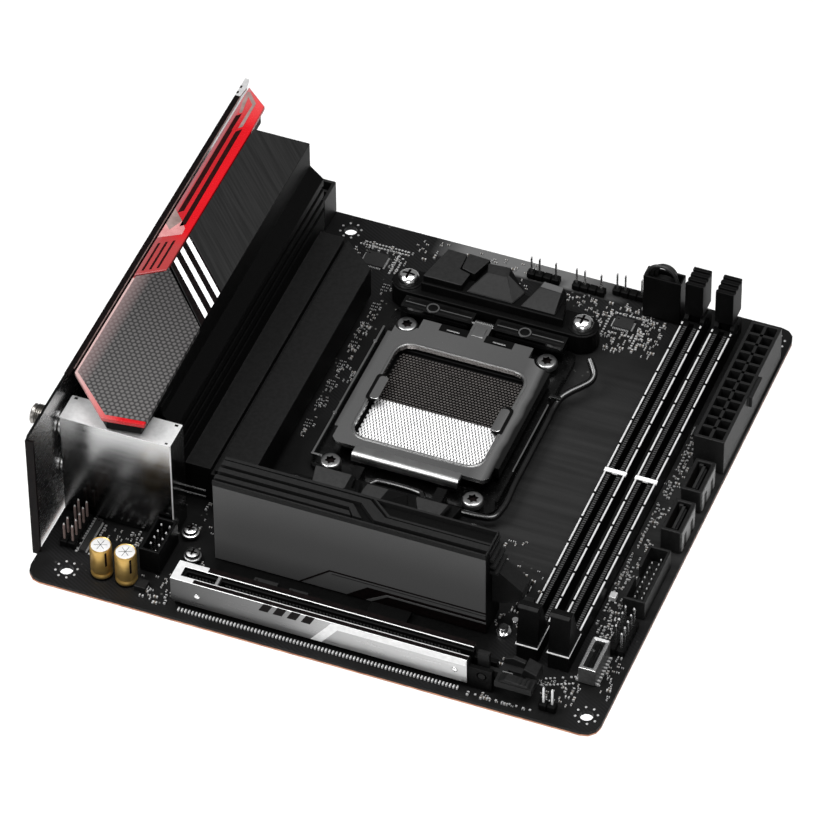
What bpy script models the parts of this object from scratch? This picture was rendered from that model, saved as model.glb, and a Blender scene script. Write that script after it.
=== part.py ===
"""A small motherboard as an assembly of separate parts.

Values are millimetres in the board's own frame: X runs from the rear ports, Y from the
card slot's edge, Z up from the board's top face. The datum empty turns that frame into
metres about the middle of the underside.
"""

import math

import bmesh
import bpy
from mathutils import Matrix, Vector

MM = 0.001

# Fits
SEAT = 0.3
HINGE_PLAY = 0.3
SIDE_PLAY = 0.5
JOIN = 0.4
THROUGH = 3.0

# Layout along X, from the rear edge to the power connector's edge
VRM_WALL_X = 30.4
VRM_PLATE_W = 19.6
SOCKET_FROM_VRM = 36.5
DIMM_FROM_SOCKET = 53.2
DIMM_PITCH = 9.2
ATX_FROM_DIMM = 5.2
EDGE_MARGIN = 0.6

# Layout along Y, from the card slot's edge to the far edge
PCIE_Y = 3.9
M2_FROM_PCIE = 13.7
COOLER_FROM_M2 = 18.0
BACK_FROM_COOLER = 26.8
DIMM_FROM_PCIE = 8.0

# Board
BOARD_T = 1.6
BOARD_CORNER = 4.5
HOLE_D = 4.0
HOLE_FRONT = 6.35
HOLE_BACK = 6.17
HOLE_RIGHT = 4.9
HOLE_LEFT = 10.16
HOLE_LEFT_BACK = 33.02

# Rear plate and its ports
IO_PLATE_T = 0.8
IO_PLATE_X = -1.6
IO_PLATE_Y = 10.0
IO_PLATE_L = 158.3
IO_PLATE_H = 44.5
PORT_FACE_X = -2.2
PORT_DEPTH = 19.0
MOUTH_STOP = 6.0
PORTS_FROM_CAN = 4.0
PORT_SPACE = 6.0
AUDIO_W = 13.0
AUDIO_H = 24.0
VIDEO_W = 17.0
VIDEO_H = 22.0
USB_W = 15.0
USB_H = 17.0
LAN_W = 17.0
LAN_H = 27.0
JACK_R = 3.1
JACK_NUT_R = 4.2
JACK_TIP_X = -9.8
JACK_Z = 30.5
JACK_SPACING = 15.0

# Wi-Fi can
CAN_X = 0.4
CAN_L = 33.6
CAN_Y = 27.6
CAN_W = 9.4
CAN_H = 37.0
CAN_WALL = 0.5

# VRM heatsink and the panels on its deck
DECK_GAP = 1.0
PANEL_T = 1.5
DECK_T = 4.2
DECK_X = 26.3
STRIP_W = 7.9
STRIP_X = 0.5
SHOULDER_DROP = 2.7
SHOULDER_FALL = 3.8
NOSE_HEEL = 0.9
NOSE_TIP = 14.9
NOSE_TIP_X = 14.2
NOSE_SIDE = 13.3
NOSE_OVER = 0.7
SPLIT_FROM_FRONT = 48.0
SPLIT_SLANT = 20.0
STRIP_CUT = 7.4
STRIP_CUT_IN = 2.0
STRIP_TAIL = 16.5
STRIP_TAIL_IN = 10.2
STRIP_TAPER = 0.4
PANEL_SPLIT = 0.4
DECK_INSET = 1.2
DECK_LIP = 1.9
DECK_LIP_X = 0.6
DECK_LIP_SIDE = 1.7
DECK_TAIL = 2.5
VRM_PLATE_TOP = 13.5
VRM_PLATE_Z = 3.0
VRM_WALL_IN = 24.0
VRM_FROM_CAN = 3.0
VRM_TO_PLUG = 10.3
FOOT_FROM_FRONT = 5.0
VRM_PLATE_L = 102.0
FIN_DEPTH = 3.0
FIN_SLOT = 1.6
FIN_PITCH = 4.2
PAD_SIDE = 2.0
PAD_EDGE = 6.0
PAD_FRONT = 4.0
PAD_BACK = 14.0

# M.2 heatsink
M2_FROM_SCREW = 9.8
M2_L = 81.2
M2_W = 10.2
M2_H = 31.0
M2_SLOT_W = 4.2
RISER_T = 1.6
M2_SCREW_R = 2.5
M2_SCREW_H = 3.2
M2_SCREW_GAP = 1.1

# Card slot
PCIE_X = 42.9
PCIE_L = 88.1
PCIE_W = 7.4
PCIE_H = 11.2
ARMOUR_T = 0.5
ARMOUR_Z = 2.3
PCIE_GROOVE = 1.8
LATCH_PIVOT = 4.0
LATCH_TAIL = 15.0
LATCH_T = 2.4
PCIE_KEY = 13.0

# Socket
FRAME_SIDE = 3.1
FRAME_T = 1.6
FRAME_FRONT = 31.4
BRACKET_GAP = 2.8
SOCKET_W = 42.6
SOCKET_H = 4.6
FIELD_Z = 3.3
WINDOW_W = 39.4
PLATE_W = 47.6
PLATE_FRONT = 24.2
PLATE_T = 1.4
PLATE_GAP = 1.0
PLATE_BACK = 4.8
FOLD_T = 1.2
HINGE_Z = 5.4
HINGE_R = 1.5
TRUNNION_R = 0.8
KNUCKLE_W = 21.8
KNUCKLE_GAP = 6.6
KNUCKLE_D = 4.8
KNUCKLE_EDGE = 0.4
LEVER_Y = 34.5
LEVER_Z = 3.6
LEVER_R = 0.95
LEVER_SIDE = 2.0
LEVER_BEND = 2.6
LEVER_CORNER = 0.8
LEVER_END = 16.5
CRANK = 2.6
CRANK_HALF = 6.6
CRANK_FOOT = 8.6
HANDLE = (
    (0.0, 48.0, 0.0),
    (1.2, 52.5, 0.6),
    (5.6, 59.0, 1.4),
    (6.5, 61.4, 2.0),
    (5.8, 63.6, 2.8),
    (4.2, 66.4, 4.2),
)
SOCKET_SCREW_X = 21.6
SOCKET_SCREW_Y = 29.8
SOCKET_HEAD_R = 3.15
SOCKET_HEAD_GAP = 0.65
SOCKET_HEAD_Z = 3.2
SOCKET_HEAD_H = 1.8
SOCKET_SHAFT_R = 1.3
BACKPLATE_T = 2.6
BACKPLATE_RIM = 6.0
BACKPLATE_WINDOW = 34.0

# Cooler brackets
COOLER_SPAN_X = 54.0
COOLER_SPAN_Y = 90.0
LOBE_R = 5.1
LOBE_H = 7.4
BAR_H = 5.6
BAR_IN = 3.4
BAR_OUT = 4.2
WING_H = 13.0
WING = (
    (-20.3, -2.9),
    (19.7, -2.9),
    (19.1, 5.4),
    (9.1, 3.6),
    (6.5, 0.4),
    (1.7, 9.6),
    (-19.3, 11.0),
)
COOLER_HEAD_R = 3.3
COOLER_HEAD_H = 1.6
COOLER_SHAFT_R = 1.7

# Memory slots
DIMM_W = 6.1
DIMM_L = 144.7
DIMM_H = 7.2
DIMM_GROOVE = 1.7
TOWER_H = 20.5
TOWER_L = 8.2
LATCH_H = 21.0
LATCH_L = 7.8
CHEEK_R = 3.9
CHEEK_T = 1.3
PIVOT_R = 1.1
PIVOT_Z = 4.6

# Power connectors
ATX_W = 9.2
ATX_L = 50.3
ATX_H = 12.8
CPU_PLUG_X = 7.5
CPU_PLUG_W = 18.6
CPU_PLUG_L = 9.4
CPU_PLUG_H = 12.0
PLUG_WALL = 1.0
PLUG_FLOOR = 3.0
ATX_BACK = 12.8

# Edge connectors, stepping down from the power connector
SATA_W = 6.0
SATA_L = 13.0
SATA_H = 8.5
SATA_SPACE = 4.0
USB3_W = 6.5
USB3_L = 21.9
USB3_H = 7.0
USB3_SPACE = 5.6
USBC_W = 5.0
USBC_L = 12.5
USBC_H = 6.2
EDGE_SETBACK = 2.3

# Pin headers
PIN_PITCH = 2.54
PIN_SIDE = 0.64
PIN_TOP = 8.5
HEADER_BASE_H = 2.6
HEADER_RIM = 1.3
HEADER_FROM_LATCH = 3.2

# Capacitors and battery
CAP_R = 3.15
CAP_H = 11.5
CAP_X = 20.0
CAP_SPACE = 7.5
CAP_Y = 8.7
CELL_R = 5.0
CELL_T = 2.5
HOLDER_W = 11.6
HOLDER_D = 4.6
HOLDER_H = 16.4
LEAD_R = 0.55

# Places that follow from the layout
CAN_END_Y = CAN_Y + CAN_W
PORT_FIRST_Y = CAN_END_Y + PORTS_FROM_CAN
VRM_FRONT_Y = CAN_END_Y + VRM_FROM_CAN
VRM_PLATE_FRONT = VRM_FRONT_Y + FOOT_FROM_FRONT
DECK_Z = CAN_H + DECK_GAP
DECK_TOP = DECK_Z + DECK_T + SEAT + PANEL_T
SHOULDER_Z = DECK_Z - SHOULDER_DROP
SHOULDER_LOW_Z = SHOULDER_Z - SHOULDER_FALL
M2_SCREW_X = CAN_X + CAN_L + M2_SCREW_GAP + M2_SCREW_R
M2_X = M2_SCREW_X + M2_FROM_SCREW
VRM_PLATE_X = VRM_WALL_X + VRM_PLATE_W
SOCKET_X = VRM_PLATE_X + SOCKET_FROM_VRM
DIMM_X = SOCKET_X + DIMM_FROM_SOCKET
DIMM_2_END = DIMM_X + DIMM_PITCH + DIMM_W
ATX_X = DIMM_2_END + ATX_FROM_DIMM
BOARD_X = ATX_X + ATX_W + EDGE_MARGIN
PCIE_BACK = PCIE_Y + PCIE_W
M2_Y = PCIE_BACK + M2_FROM_PCIE
COOLER_LOW_Y = M2_Y + M2_W + COOLER_FROM_M2
SOCKET_Y = COOLER_LOW_Y + COOLER_SPAN_Y / 2
BOARD_Y = COOLER_LOW_Y + COOLER_SPAN_Y + BACK_FROM_COOLER
DIMM_Y = PCIE_BACK + DIMM_FROM_PCIE
DIMM_END = DIMM_Y + DIMM_L
VRM_END = BOARD_Y - CPU_PLUG_L - VRM_TO_PLUG
BACKPLATE_Z = -BOARD_T - SEAT - BACKPLATE_T
FRAME_W = PLATE_W + 2 * (FOLD_T + FRAME_SIDE)
FRAME_BACK = COOLER_SPAN_Y / 2 - BAR_IN - BRACKET_GAP
HINGE_Y = FRAME_BACK - KNUCKLE_EDGE - KNUCKLE_D / 2
SOCKET_SCREW_BACK = HINGE_Y - KNUCKLE_D / 2 - SOCKET_HEAD_GAP - SOCKET_HEAD_R
PLATE_Z = SOCKET_H + PLATE_GAP
LEVER_ARM_X = FRAME_W / 2 + LEVER_SIDE
LATCH_END = PCIE_X + PCIE_L + LATCH_PIVOT + LATCH_TAIL
CLIP_OUT = 1.2
REACH_X = ATX_X + ATX_W + CLIP_OUT

COOLER_POINTS = [
    (SOCKET_X + sx * COOLER_SPAN_X / 2, SOCKET_Y + sy * COOLER_SPAN_Y / 2)
    for sy in (-1, 1)
    for sx in (-1, 1)
]
SOCKET_SCREWS = [
    (SOCKET_X + sx * SOCKET_SCREW_X, SOCKET_Y + y)
    for y in (-SOCKET_SCREW_Y, SOCKET_SCREW_BACK)
    for sx in (-1, 1)
]
MOUNT_HOLES = [
    (HOLE_LEFT, HOLE_FRONT),
    (BOARD_X - HOLE_RIGHT, HOLE_FRONT),
    (HOLE_LEFT_BACK, BOARD_Y - HOLE_BACK),
    (BOARD_X - HOLE_RIGHT, BOARD_Y - HOLE_BACK),
]

for old in list(bpy.data.objects):
    bpy.data.objects.remove(old, do_unlink=True)

PARTS = bpy.data.collections.new("motherboard")
CUTTERS = bpy.data.collections.new("cutters")
for group in (PARTS, CUTTERS):
    bpy.context.scene.collection.children.link(group)

DATUM = bpy.data.objects.new("datum", None)
DATUM.location = Vector((-(JACK_TIP_X + REACH_X) / 2, -BOARD_Y / 2, -BACKPLATE_Z)) * MM
PARTS.objects.link(DATUM)


def finish(name):
    """A material by name, made once: colour, roughness and metallic value."""
    looks = {
        "board_black": ((0.012, 0.012, 0.014), 0.45, 0.0),
        "black_plastic": ((0.014, 0.014, 0.015), 0.5, 0.0),
        "black_metal": ((0.025, 0.025, 0.027), 0.42, 0.7),
        "dark_grey_metal": ((0.07, 0.07, 0.075), 0.5, 0.6),
        "grey_panel": ((0.16, 0.16, 0.165), 0.45, 0.3),
        "red_clear": ((0.62, 0.02, 0.025), 0.2, 0.0),
        "steel": ((0.62, 0.62, 0.63), 0.28, 1.0),
        "dark_steel": ((0.09, 0.09, 0.095), 0.3, 1.0),
        "tin": ((0.7, 0.7, 0.71), 0.2, 1.0),
        "gold_sleeve": ((0.72, 0.5, 0.16), 0.3, 0.7),
        "pad_grey": ((0.35, 0.37, 0.42), 0.85, 0.0),
        "chip": ((0.03, 0.03, 0.032), 0.4, 0.0),
    }
    if name not in bpy.data.materials:
        colour, rough, metal = looks[name]
        material = bpy.data.materials.new(name)
        material.use_nodes = True
        shader = material.node_tree.nodes["Principled BSDF"]
        shader.inputs["Base Color"].default_value = (*colour, 1)
        shader.inputs["Roughness"].default_value = rough
        shader.inputs["Metallic"].default_value = metal
    return bpy.data.materials[name]


def keep(bm, name):
    """An object made from a bmesh in millimetres, parented to the datum."""
    bmesh.ops.scale(bm, vec=(MM, MM, MM), verts=bm.verts)
    bmesh.ops.recalc_face_normals(bm, faces=bm.faces)
    mesh = bpy.data.meshes.new(name)
    bm.to_mesh(mesh)
    bm.free()
    obj = bpy.data.objects.new(name, mesh)
    obj.parent = DATUM
    PARTS.objects.link(obj)
    return obj


def boxes(name, spans):
    """Boxes that don't touch one another, each ((x0, x1), (y0, y1), (z0, z1))."""
    bm = bmesh.new()
    for span in spans:
        middle = Vector([(low + high) / 2 for low, high in span])
        size = Vector([high - low for low, high in span])
        bmesh.ops.create_cube(bm, size=1, matrix=Matrix.LocRotScale(middle, None, size))
    return keep(bm, name)


def box(name, x, y, z):
    return boxes(name, [(x, y, z)])


AXES = {
    "X": Matrix(((0, 0, 1), (1, 0, 0), (0, 1, 0))),
    "Y": Matrix(((1, 0, 0), (0, 0, -1), (0, 1, 0))),
    "Z": Matrix.Identity(3),
}


def along(axis, ends):
    """The turn that takes local Z to an axis, and the middle of a run along it."""
    middle = Vector((0, 0, 0))
    middle["XYZ".index(axis)] = sum(ends) / 2
    return Matrix.Translation(middle) @ AXES[axis].to_4x4()


def rods(name, axis, middles, radius, ends, segments=12):
    """Round bars along an axis. Each middle gives the other two coordinates in order."""
    bm = bmesh.new()
    for first, second in middles:
        place = along(axis, ends) @ Matrix.Translation((first, second, 0))
        bmesh.ops.create_cone(
            bm,
            cap_ends=True,
            segments=segments,
            radius1=radius,
            radius2=radius,
            depth=ends[1] - ends[0],
            matrix=place,
        )
    return keep(bm, name)


def plate(name, outlines, axis, ends):
    """A flat outline with holes, as thick as the run along its axis."""
    curve = bpy.data.curves.new(name, "CURVE")
    curve.dimensions = "2D"
    curve.fill_mode = "BOTH"
    curve.extrude = (ends[1] - ends[0]) / 2
    for outline in outlines:
        spline = curve.splines.new("POLY")
        spline.points.add(len(outline) - 1)
        for point, (first, second) in zip(spline.points, outline):
            point.co = (first, second, 0, 1)
        spline.use_cyclic_u = True
    holder = bpy.data.objects.new(name + "_outline", curve)
    mesh = bpy.data.meshes.new_from_object(holder)
    bpy.data.objects.remove(holder)
    bpy.data.curves.remove(curve)
    bm = bmesh.new()
    bm.from_mesh(mesh)
    bpy.data.meshes.remove(mesh)
    bmesh.ops.remove_doubles(bm, verts=bm.verts, dist=0.001)
    bmesh.ops.transform(bm, matrix=along(axis, ends), verts=bm.verts)
    return keep(bm, name)


def ring(middle, radius, steps=12):
    turns = [2 * math.pi * step / steps for step in range(steps)]
    return [(middle[0] + radius * math.cos(t), middle[1] + radius * math.sin(t)) for t in turns]


def rounded(x, y, radius, steps=3):
    """A rectangle's outline with round corners."""
    points = []
    corners = ((x[1], y[1]), (x[0], y[1]), (x[0], y[0]), (x[1], y[0]))
    for quarter, (cx, cy) in enumerate(corners):
        mx = cx - math.copysign(radius, cx - sum(x) / 2)
        my = cy - math.copysign(radius, cy - sum(y) / 2)
        for step in range(steps + 1):
            turn = math.pi / 2 * (quarter + step / steps)
            points.append((mx + radius * math.cos(turn), my + radius * math.sin(turn)))
    return points


def around(middle, size):
    return (middle - size / 2, middle + size / 2)


def combine(obj, tool, operation):
    """A live Boolean. The tool goes to the cutters, where no render shows it."""
    modifier = obj.modifiers.new(tool.name, "BOOLEAN")
    modifier.operation = operation
    modifier.solver = "EXACT"
    modifier.object = tool
    tool.hide_render = True
    tool.display_type = "WIRE"
    PARTS.objects.unlink(tool)
    CUTTERS.objects.link(tool)
    return obj


def cut(obj, tool):
    return combine(obj, tool, "DIFFERENCE")


def join(obj, tool):
    return combine(obj, tool, "UNION")


def dress(obj, look):
    obj.data.materials.append(finish(look))
    return obj


def hang_on(obj, pivot):
    """Moves a piece's origin to its joint's axis, leaving the piece where it is."""
    point = Vector(pivot) * MM
    obj.data.transform(Matrix.Translation(-point))
    obj.location = point


def circuit_board():
    holes = [ring(at, HOLE_D / 2) for at in MOUNT_HOLES]
    holes += [ring(at, COOLER_SHAFT_R + SEAT) for at in COOLER_POINTS]
    holes += [ring(at, SOCKET_SHAFT_R + SEAT) for at in SOCKET_SCREWS]
    outline = rounded((0, BOARD_X), (0, BOARD_Y), BOARD_CORNER)
    dress(plate("pcb", [outline] + holes, "Z", (-BOARD_T, 0)), "board_black")


def port_row():
    """Each rear port block: name, Y span, height and its mouths as (width, height, Z)."""
    usb = (12.4, 4.9)
    blocks = (
        ("audio_jacks", AUDIO_W, AUDIO_H, ((6.0, 6.0, 5.4), (6.0, 6.0, 17.4))),
        ("video_ports", VIDEO_W, VIDEO_H, ((14.4, 4.7, 4.6), (14.4, 4.9, 15.6))),
        ("usb_stack_1", USB_W, USB_H, ((*usb, 4.4), (*usb, 12.2))),
        ("usb_stack_2", USB_W, USB_H, ((*usb, 4.4), (*usb, 12.2))),
        ("lan_usb_stack", LAN_W, LAN_H, ((*usb, 4.4), (12.0, 9.0, 18.5))),
    )
    start = PORT_FIRST_Y
    for name, width, height, mouths in blocks:
        yield name, (start, start + width), height, mouths
        start += width + PORT_SPACE


def rear_ports():
    end_x = PORT_FACE_X + PORT_DEPTH
    mouth_end = end_x - MOUTH_STOP
    for name, y, height, mouths in port_row():
        body = box(name, (PORT_FACE_X, end_x), y, (SEAT, height))
        middle = sum(y) / 2
        spans = [
            ((PORT_FACE_X - THROUGH, mouth_end), around(middle, wide), around(z, tall))
            for wide, tall, z in mouths
        ]
        cut(body, boxes(name + "_mouths", spans))
        dress(body, "tin")


def rear_plate():
    y = (IO_PLATE_Y, IO_PLATE_Y + IO_PLATE_L)
    windows = []
    for _, (y0, y1), height, _ in port_row():
        windows.append(rounded((y0 - SEAT, y1 + SEAT), (0, height + SEAT), 0.2, 1))
    windows += [ring(at, JACK_R + SEAT) for at in jack_middles()]
    ends = (IO_PLATE_X, IO_PLATE_X + IO_PLATE_T)
    shell = plate("rear_io_plate", [rounded(y, (-BOARD_T, IO_PLATE_H), 1.5)] + windows, "X", ends)
    dress(shell, "black_metal")


def jack_middles():
    y = CAN_Y + CAN_W / 2
    return [(y, JACK_Z), (y, JACK_Z - JACK_SPACING)]


def antenna_jacks():
    inside = IO_PLATE_X + IO_PLATE_T + SEAT
    for number, at in enumerate(jack_middles(), 1):
        name = f"antenna_jack_{number}"
        jack = rods(name, "X", [at], JACK_R, (JACK_TIP_X, inside + JOIN))
        nut_x = (IO_PLATE_X - SEAT - 2.0, IO_PLATE_X - SEAT)
        join(jack, rods(name + "_nut", "X", [at], JACK_NUT_R, nut_x, 6))
        flange_x = (inside, inside + 0.6)
        join(jack, rods(name + "_flange", "X", [at], JACK_NUT_R, flange_x, 16))
        cut(jack, rods(name + "_bore", "X", [at], JACK_R * 0.7, (JACK_TIP_X - 1, JACK_TIP_X + 5)))
        dress(jack, "gold_sleeve")


def wifi():
    x = (CAN_X, CAN_X + CAN_L)
    y = (CAN_Y, CAN_Y + CAN_W)
    can = box("wifi_shield", x, y, (SEAT, CAN_H))
    inner_x = (x[0] + CAN_WALL, x[1] - CAN_WALL)
    inner_y = (y[0] + CAN_WALL, y[1] - CAN_WALL)
    cut(can, box("wifi_shield_inside", inner_x, inner_y, (-THROUGH, CAN_H - CAN_WALL)))
    dress(can, "tin")
    module_t = 3.2
    module_x = (inner_x[0] + SEAT, inner_x[1] - SEAT)
    module_z = (SEAT, CAN_H - CAN_WALL - SEAT)
    dress(box("wifi_module", module_x, around(sum(y) / 2, module_t), module_z), "chip")


def deck_outlines():
    """The nose panel, the red strip and the heatsink's own top, as outlines that don't touch."""
    strip_end = STRIP_X + STRIP_W
    top_x = strip_end + SEAT
    split = VRM_FRONT_Y + SPLIT_FROM_FRONT
    nose = [
        (STRIP_X, VRM_FRONT_Y - NOSE_HEEL),
        (STRIP_X + NOSE_TIP_X, VRM_FRONT_Y - NOSE_TIP),
        (DECK_X + NOSE_OVER, VRM_FRONT_Y - NOSE_SIDE),
        (DECK_X, split - SPLIT_SLANT),
        (strip_end, split - SEAT),
        (strip_end, split - STRIP_CUT_IN),
        (STRIP_X, split - STRIP_CUT),
    ]
    strip = [
        (STRIP_X, split - STRIP_CUT + PANEL_SPLIT),
        (strip_end, split - STRIP_CUT_IN + PANEL_SPLIT),
        (strip_end, VRM_END + SEAT),
        (strip_end - STRIP_TAPER, VRM_END + STRIP_TAIL_IN),
        (STRIP_X, VRM_END + STRIP_TAIL),
    ]
    top = [
        (top_x, split + PANEL_SPLIT),
        (DECK_X, split + PANEL_SPLIT - SPLIT_SLANT),
        (DECK_X, VRM_END),
        (top_x, VRM_END),
    ]
    return nose, strip, top


def vrm():
    nose, strip, top = deck_outlines()
    deck_z = (DECK_Z, DECK_Z + DECK_T)
    deck = [
        (STRIP_X + DECK_INSET, VRM_END + STRIP_TAIL - DECK_TAIL),
        (STRIP_X + DECK_INSET, VRM_FRONT_Y),
        (STRIP_X + NOSE_TIP_X + DECK_LIP_X, VRM_FRONT_Y - NOSE_TIP + DECK_LIP),
        (DECK_X - DECK_INSET, VRM_FRONT_Y - NOSE_SIDE + DECK_LIP_SIDE),
        (DECK_X, VRM_FRONT_Y + 12),
        (DECK_X, VRM_END),
        (STRIP_X + STRIP_W - DECK_INSET, VRM_END),
        (STRIP_X + STRIP_W - DECK_INSET, VRM_END + STRIP_TAIL_IN - DECK_INSET),
    ]
    wall = [
        (VRM_WALL_IN, VRM_PLATE_Z),
        (VRM_WALL_X, VRM_PLATE_Z),
        (VRM_WALL_X, SHOULDER_LOW_Z),
        (DECK_X, SHOULDER_Z),
        (DECK_X, deck_z[0] + JOIN),
        (VRM_WALL_IN, deck_z[0] + JOIN),
    ]
    plate_end = VRM_PLATE_FRONT + VRM_PLATE_L
    foot = [
        (VRM_WALL_X - JOIN, VRM_PLATE_FRONT),
        (VRM_PLATE_X, VRM_PLATE_FRONT),
        (VRM_PLATE_X, plate_end - 9.5),
        (VRM_PLATE_X - 11.5, plate_end),
        (VRM_WALL_X - JOIN, plate_end),
    ]
    sink = plate("vrm_heatsink", [deck], "Z", deck_z)
    join(sink, plate("vrm_top", [top], "Z", (deck_z[0] + 1, DECK_TOP)))
    join(sink, plate("vrm_wall", [wall], "Y", (VRM_FRONT_Y, VRM_END)))
    join(sink, plate("vrm_foot", [foot], "Z", (VRM_PLATE_Z, VRM_PLATE_TOP)))
    fins = [
        (
            (VRM_WALL_X - FIN_DEPTH, VRM_WALL_X + 1),
            (VRM_FRONT_Y - 1, VRM_END + 1),
            around(SHOULDER_LOW_Z - 3.4 - row * FIN_PITCH, FIN_SLOT),
        )
        for row in range(3)
    ]
    line_x = around(VRM_WALL_X + 8.3, 1.2)
    line_z = (VRM_PLATE_TOP - 2.0, VRM_PLATE_TOP + 1)
    fins.append((line_x, (VRM_PLATE_FRONT - 1, plate_end + 1), line_z))
    cut(sink, boxes("vrm_fins", fins))
    dress(sink, "black_metal")
    panel_z = (DECK_TOP - PANEL_T, DECK_TOP)
    dress(plate("nose_panel", [nose], "Z", panel_z), "grey_panel")
    dress(plate("accent_strip", [strip], "Z", panel_z), "red_clear")
    pad_x = (VRM_WALL_X + PAD_SIDE, VRM_PLATE_X - PAD_EDGE)
    pad_y = (VRM_PLATE_FRONT + PAD_FRONT, plate_end - PAD_BACK)
    dress(box("vrm_thermal_pad", pad_x, pad_y, (SEAT, VRM_PLATE_Z - SEAT)), "pad_grey")


def m2_drive_bay():
    x = (M2_X, M2_X + M2_L)
    y = (M2_Y, M2_Y + M2_W)
    sink = box("m2_heatsink", x, y, (SEAT, M2_H))
    middle = sum(y) / 2
    rim = 3.0
    slot_x = (x[0] + rim, x[1] - rim)
    tops = [(slot_x, around(middle, M2_SLOT_W), (-THROUGH, M2_H - rim))]
    rib = M2_W / 7
    for row in range(3):
        start = y[0] + rib * (2 * row + 1)
        groove_y = (start, start + rib * 0.8)
        tops.append(((x[0] - 1, x[0] + M2_L * 0.46 + 2.0 * (2 - row)), groove_y, (M2_H - 1.2, M2_H + 1)))
    panel_x = (x[0] + M2_L * 0.6, x[1] - 0.8)
    tops.append((panel_x, (middle - 0.6, y[1] - 0.8), (M2_H - 0.8, M2_H + 1)))
    cut(sink, boxes("m2_cuts", tops))
    dress(sink, "dark_grey_metal")
    riser_x = (slot_x[0] + SEAT, slot_x[1] - SEAT)
    riser = box("m2_riser", riser_x, around(middle, RISER_T), (SEAT, M2_H - rim - SEAT))
    dress(riser, "board_black")
    spots = ((M2_SCREW_X, M2_Y + 5.8), (M2_SCREW_X + 4.1, M2_Y - 2.5))
    for number, at in enumerate(spots, 1):
        name = f"m2_screw_{number}"
        screw = rods(name, "Z", [at], M2_SCREW_R, (M2_SCREW_H - 1.0, M2_SCREW_H), 16)
        join(screw, rods(name + "_post", "Z", [at], M2_SCREW_R * 0.7, (SEAT, M2_SCREW_H - 0.5), 6))
        dress(screw, "steel")


def card_slot():
    x = (PCIE_X, PCIE_X + PCIE_L)
    y = (PCIE_Y, PCIE_BACK)
    middle = sum(y) / 2
    gap = ARMOUR_T + SEAT
    body_y = (y[0] + gap, y[1] - gap)
    body_top = PCIE_H - gap
    body = box("pcie_slot", (x[0] + gap, x[1] + SEAT), body_y, (SEAT, body_top))
    pivot = (x[1] + LATCH_PIVOT, 5.6)
    cheek_w = 1.7
    cheek_x = (x[1] - JOIN, pivot[0] + 3.0)
    cheek_top = pivot[1] + 2.4
    cheeks = [
        (cheek_x, (body_y[0], body_y[0] + cheek_w), (SEAT, cheek_top)),
        (cheek_x, (body_y[1] - cheek_w, body_y[1]), (SEAT, cheek_top)),
    ]
    join(body, boxes("pcie_cheeks", cheeks))
    key = x[0] + PCIE_KEY
    groove_y = around(middle, PCIE_GROOVE)
    groove_z = (3.0, PCIE_H + 1)
    grooves = [
        ((x[0] + 3.5, key - 0.9), groove_y, groove_z),
        ((key + 0.9, x[1] + 1), groove_y, groove_z),
    ]
    cut(body, boxes("pcie_grooves", grooves))
    pin_y = (body_y[0] - 1, body_y[1] + 1)
    cut(body, rods("pcie_pivot", "Y", [pivot], PIVOT_R + HINGE_PLAY, pin_y))
    dress(body, "black_plastic")

    armour = box("pcie_armour", x, y, (ARMOUR_Z, PCIE_H))
    inside_y = (y[0] + ARMOUR_T, y[1] - ARMOUR_T)
    hollow = [((x[0] + ARMOUR_T, x[1] + 1), inside_y, (-1, PCIE_H - ARMOUR_T))]
    cut(armour, boxes("pcie_armour_inside", hollow))
    mouth = [((x[0] + 2.5, x[1] + 1), around(middle, 3.4), (PCIE_H - 2, PCIE_H + 1))]
    cut(armour, boxes("pcie_armour_mouth", mouth))
    dress(armour, "steel")

    lever_y = (body_y[0] + cheek_w + SIDE_PLAY, body_y[1] - cheek_w - SIDE_PLAY)
    hook_x = (x[1] + 2.0, pivot[0] + 1.4)
    latch = box("pcie_latch", hook_x, lever_y, (pivot[1] - 1.8, PCIE_H + 1.2))
    tail_x = (pivot[0] - 1.0, LATCH_END)
    join(latch, box("pcie_latch_tail", tail_x, lever_y, around(pivot[1], LATCH_T)))
    paddle_x = (cheek_x[1] + 1.2, LATCH_END)
    paddle_y = (y[0] - 0.6, y[1] + 1.2)
    join(latch, box("pcie_latch_paddle", paddle_x, paddle_y, around(pivot[1] + 0.3, LATCH_T - 0.4)))
    join(latch, rods("pcie_latch_pin", "Y", [pivot], PIVOT_R, body_y))
    slot_x = (paddle_x[0] + 2.2, paddle_x[1] - 3.0)
    cut(latch, box("pcie_latch_slot", slot_x, around(middle, 1.8), (0, PCIE_H)))
    hang_on(latch, (pivot[0], middle, pivot[1]))
    dress(latch, "black_plastic")


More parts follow.
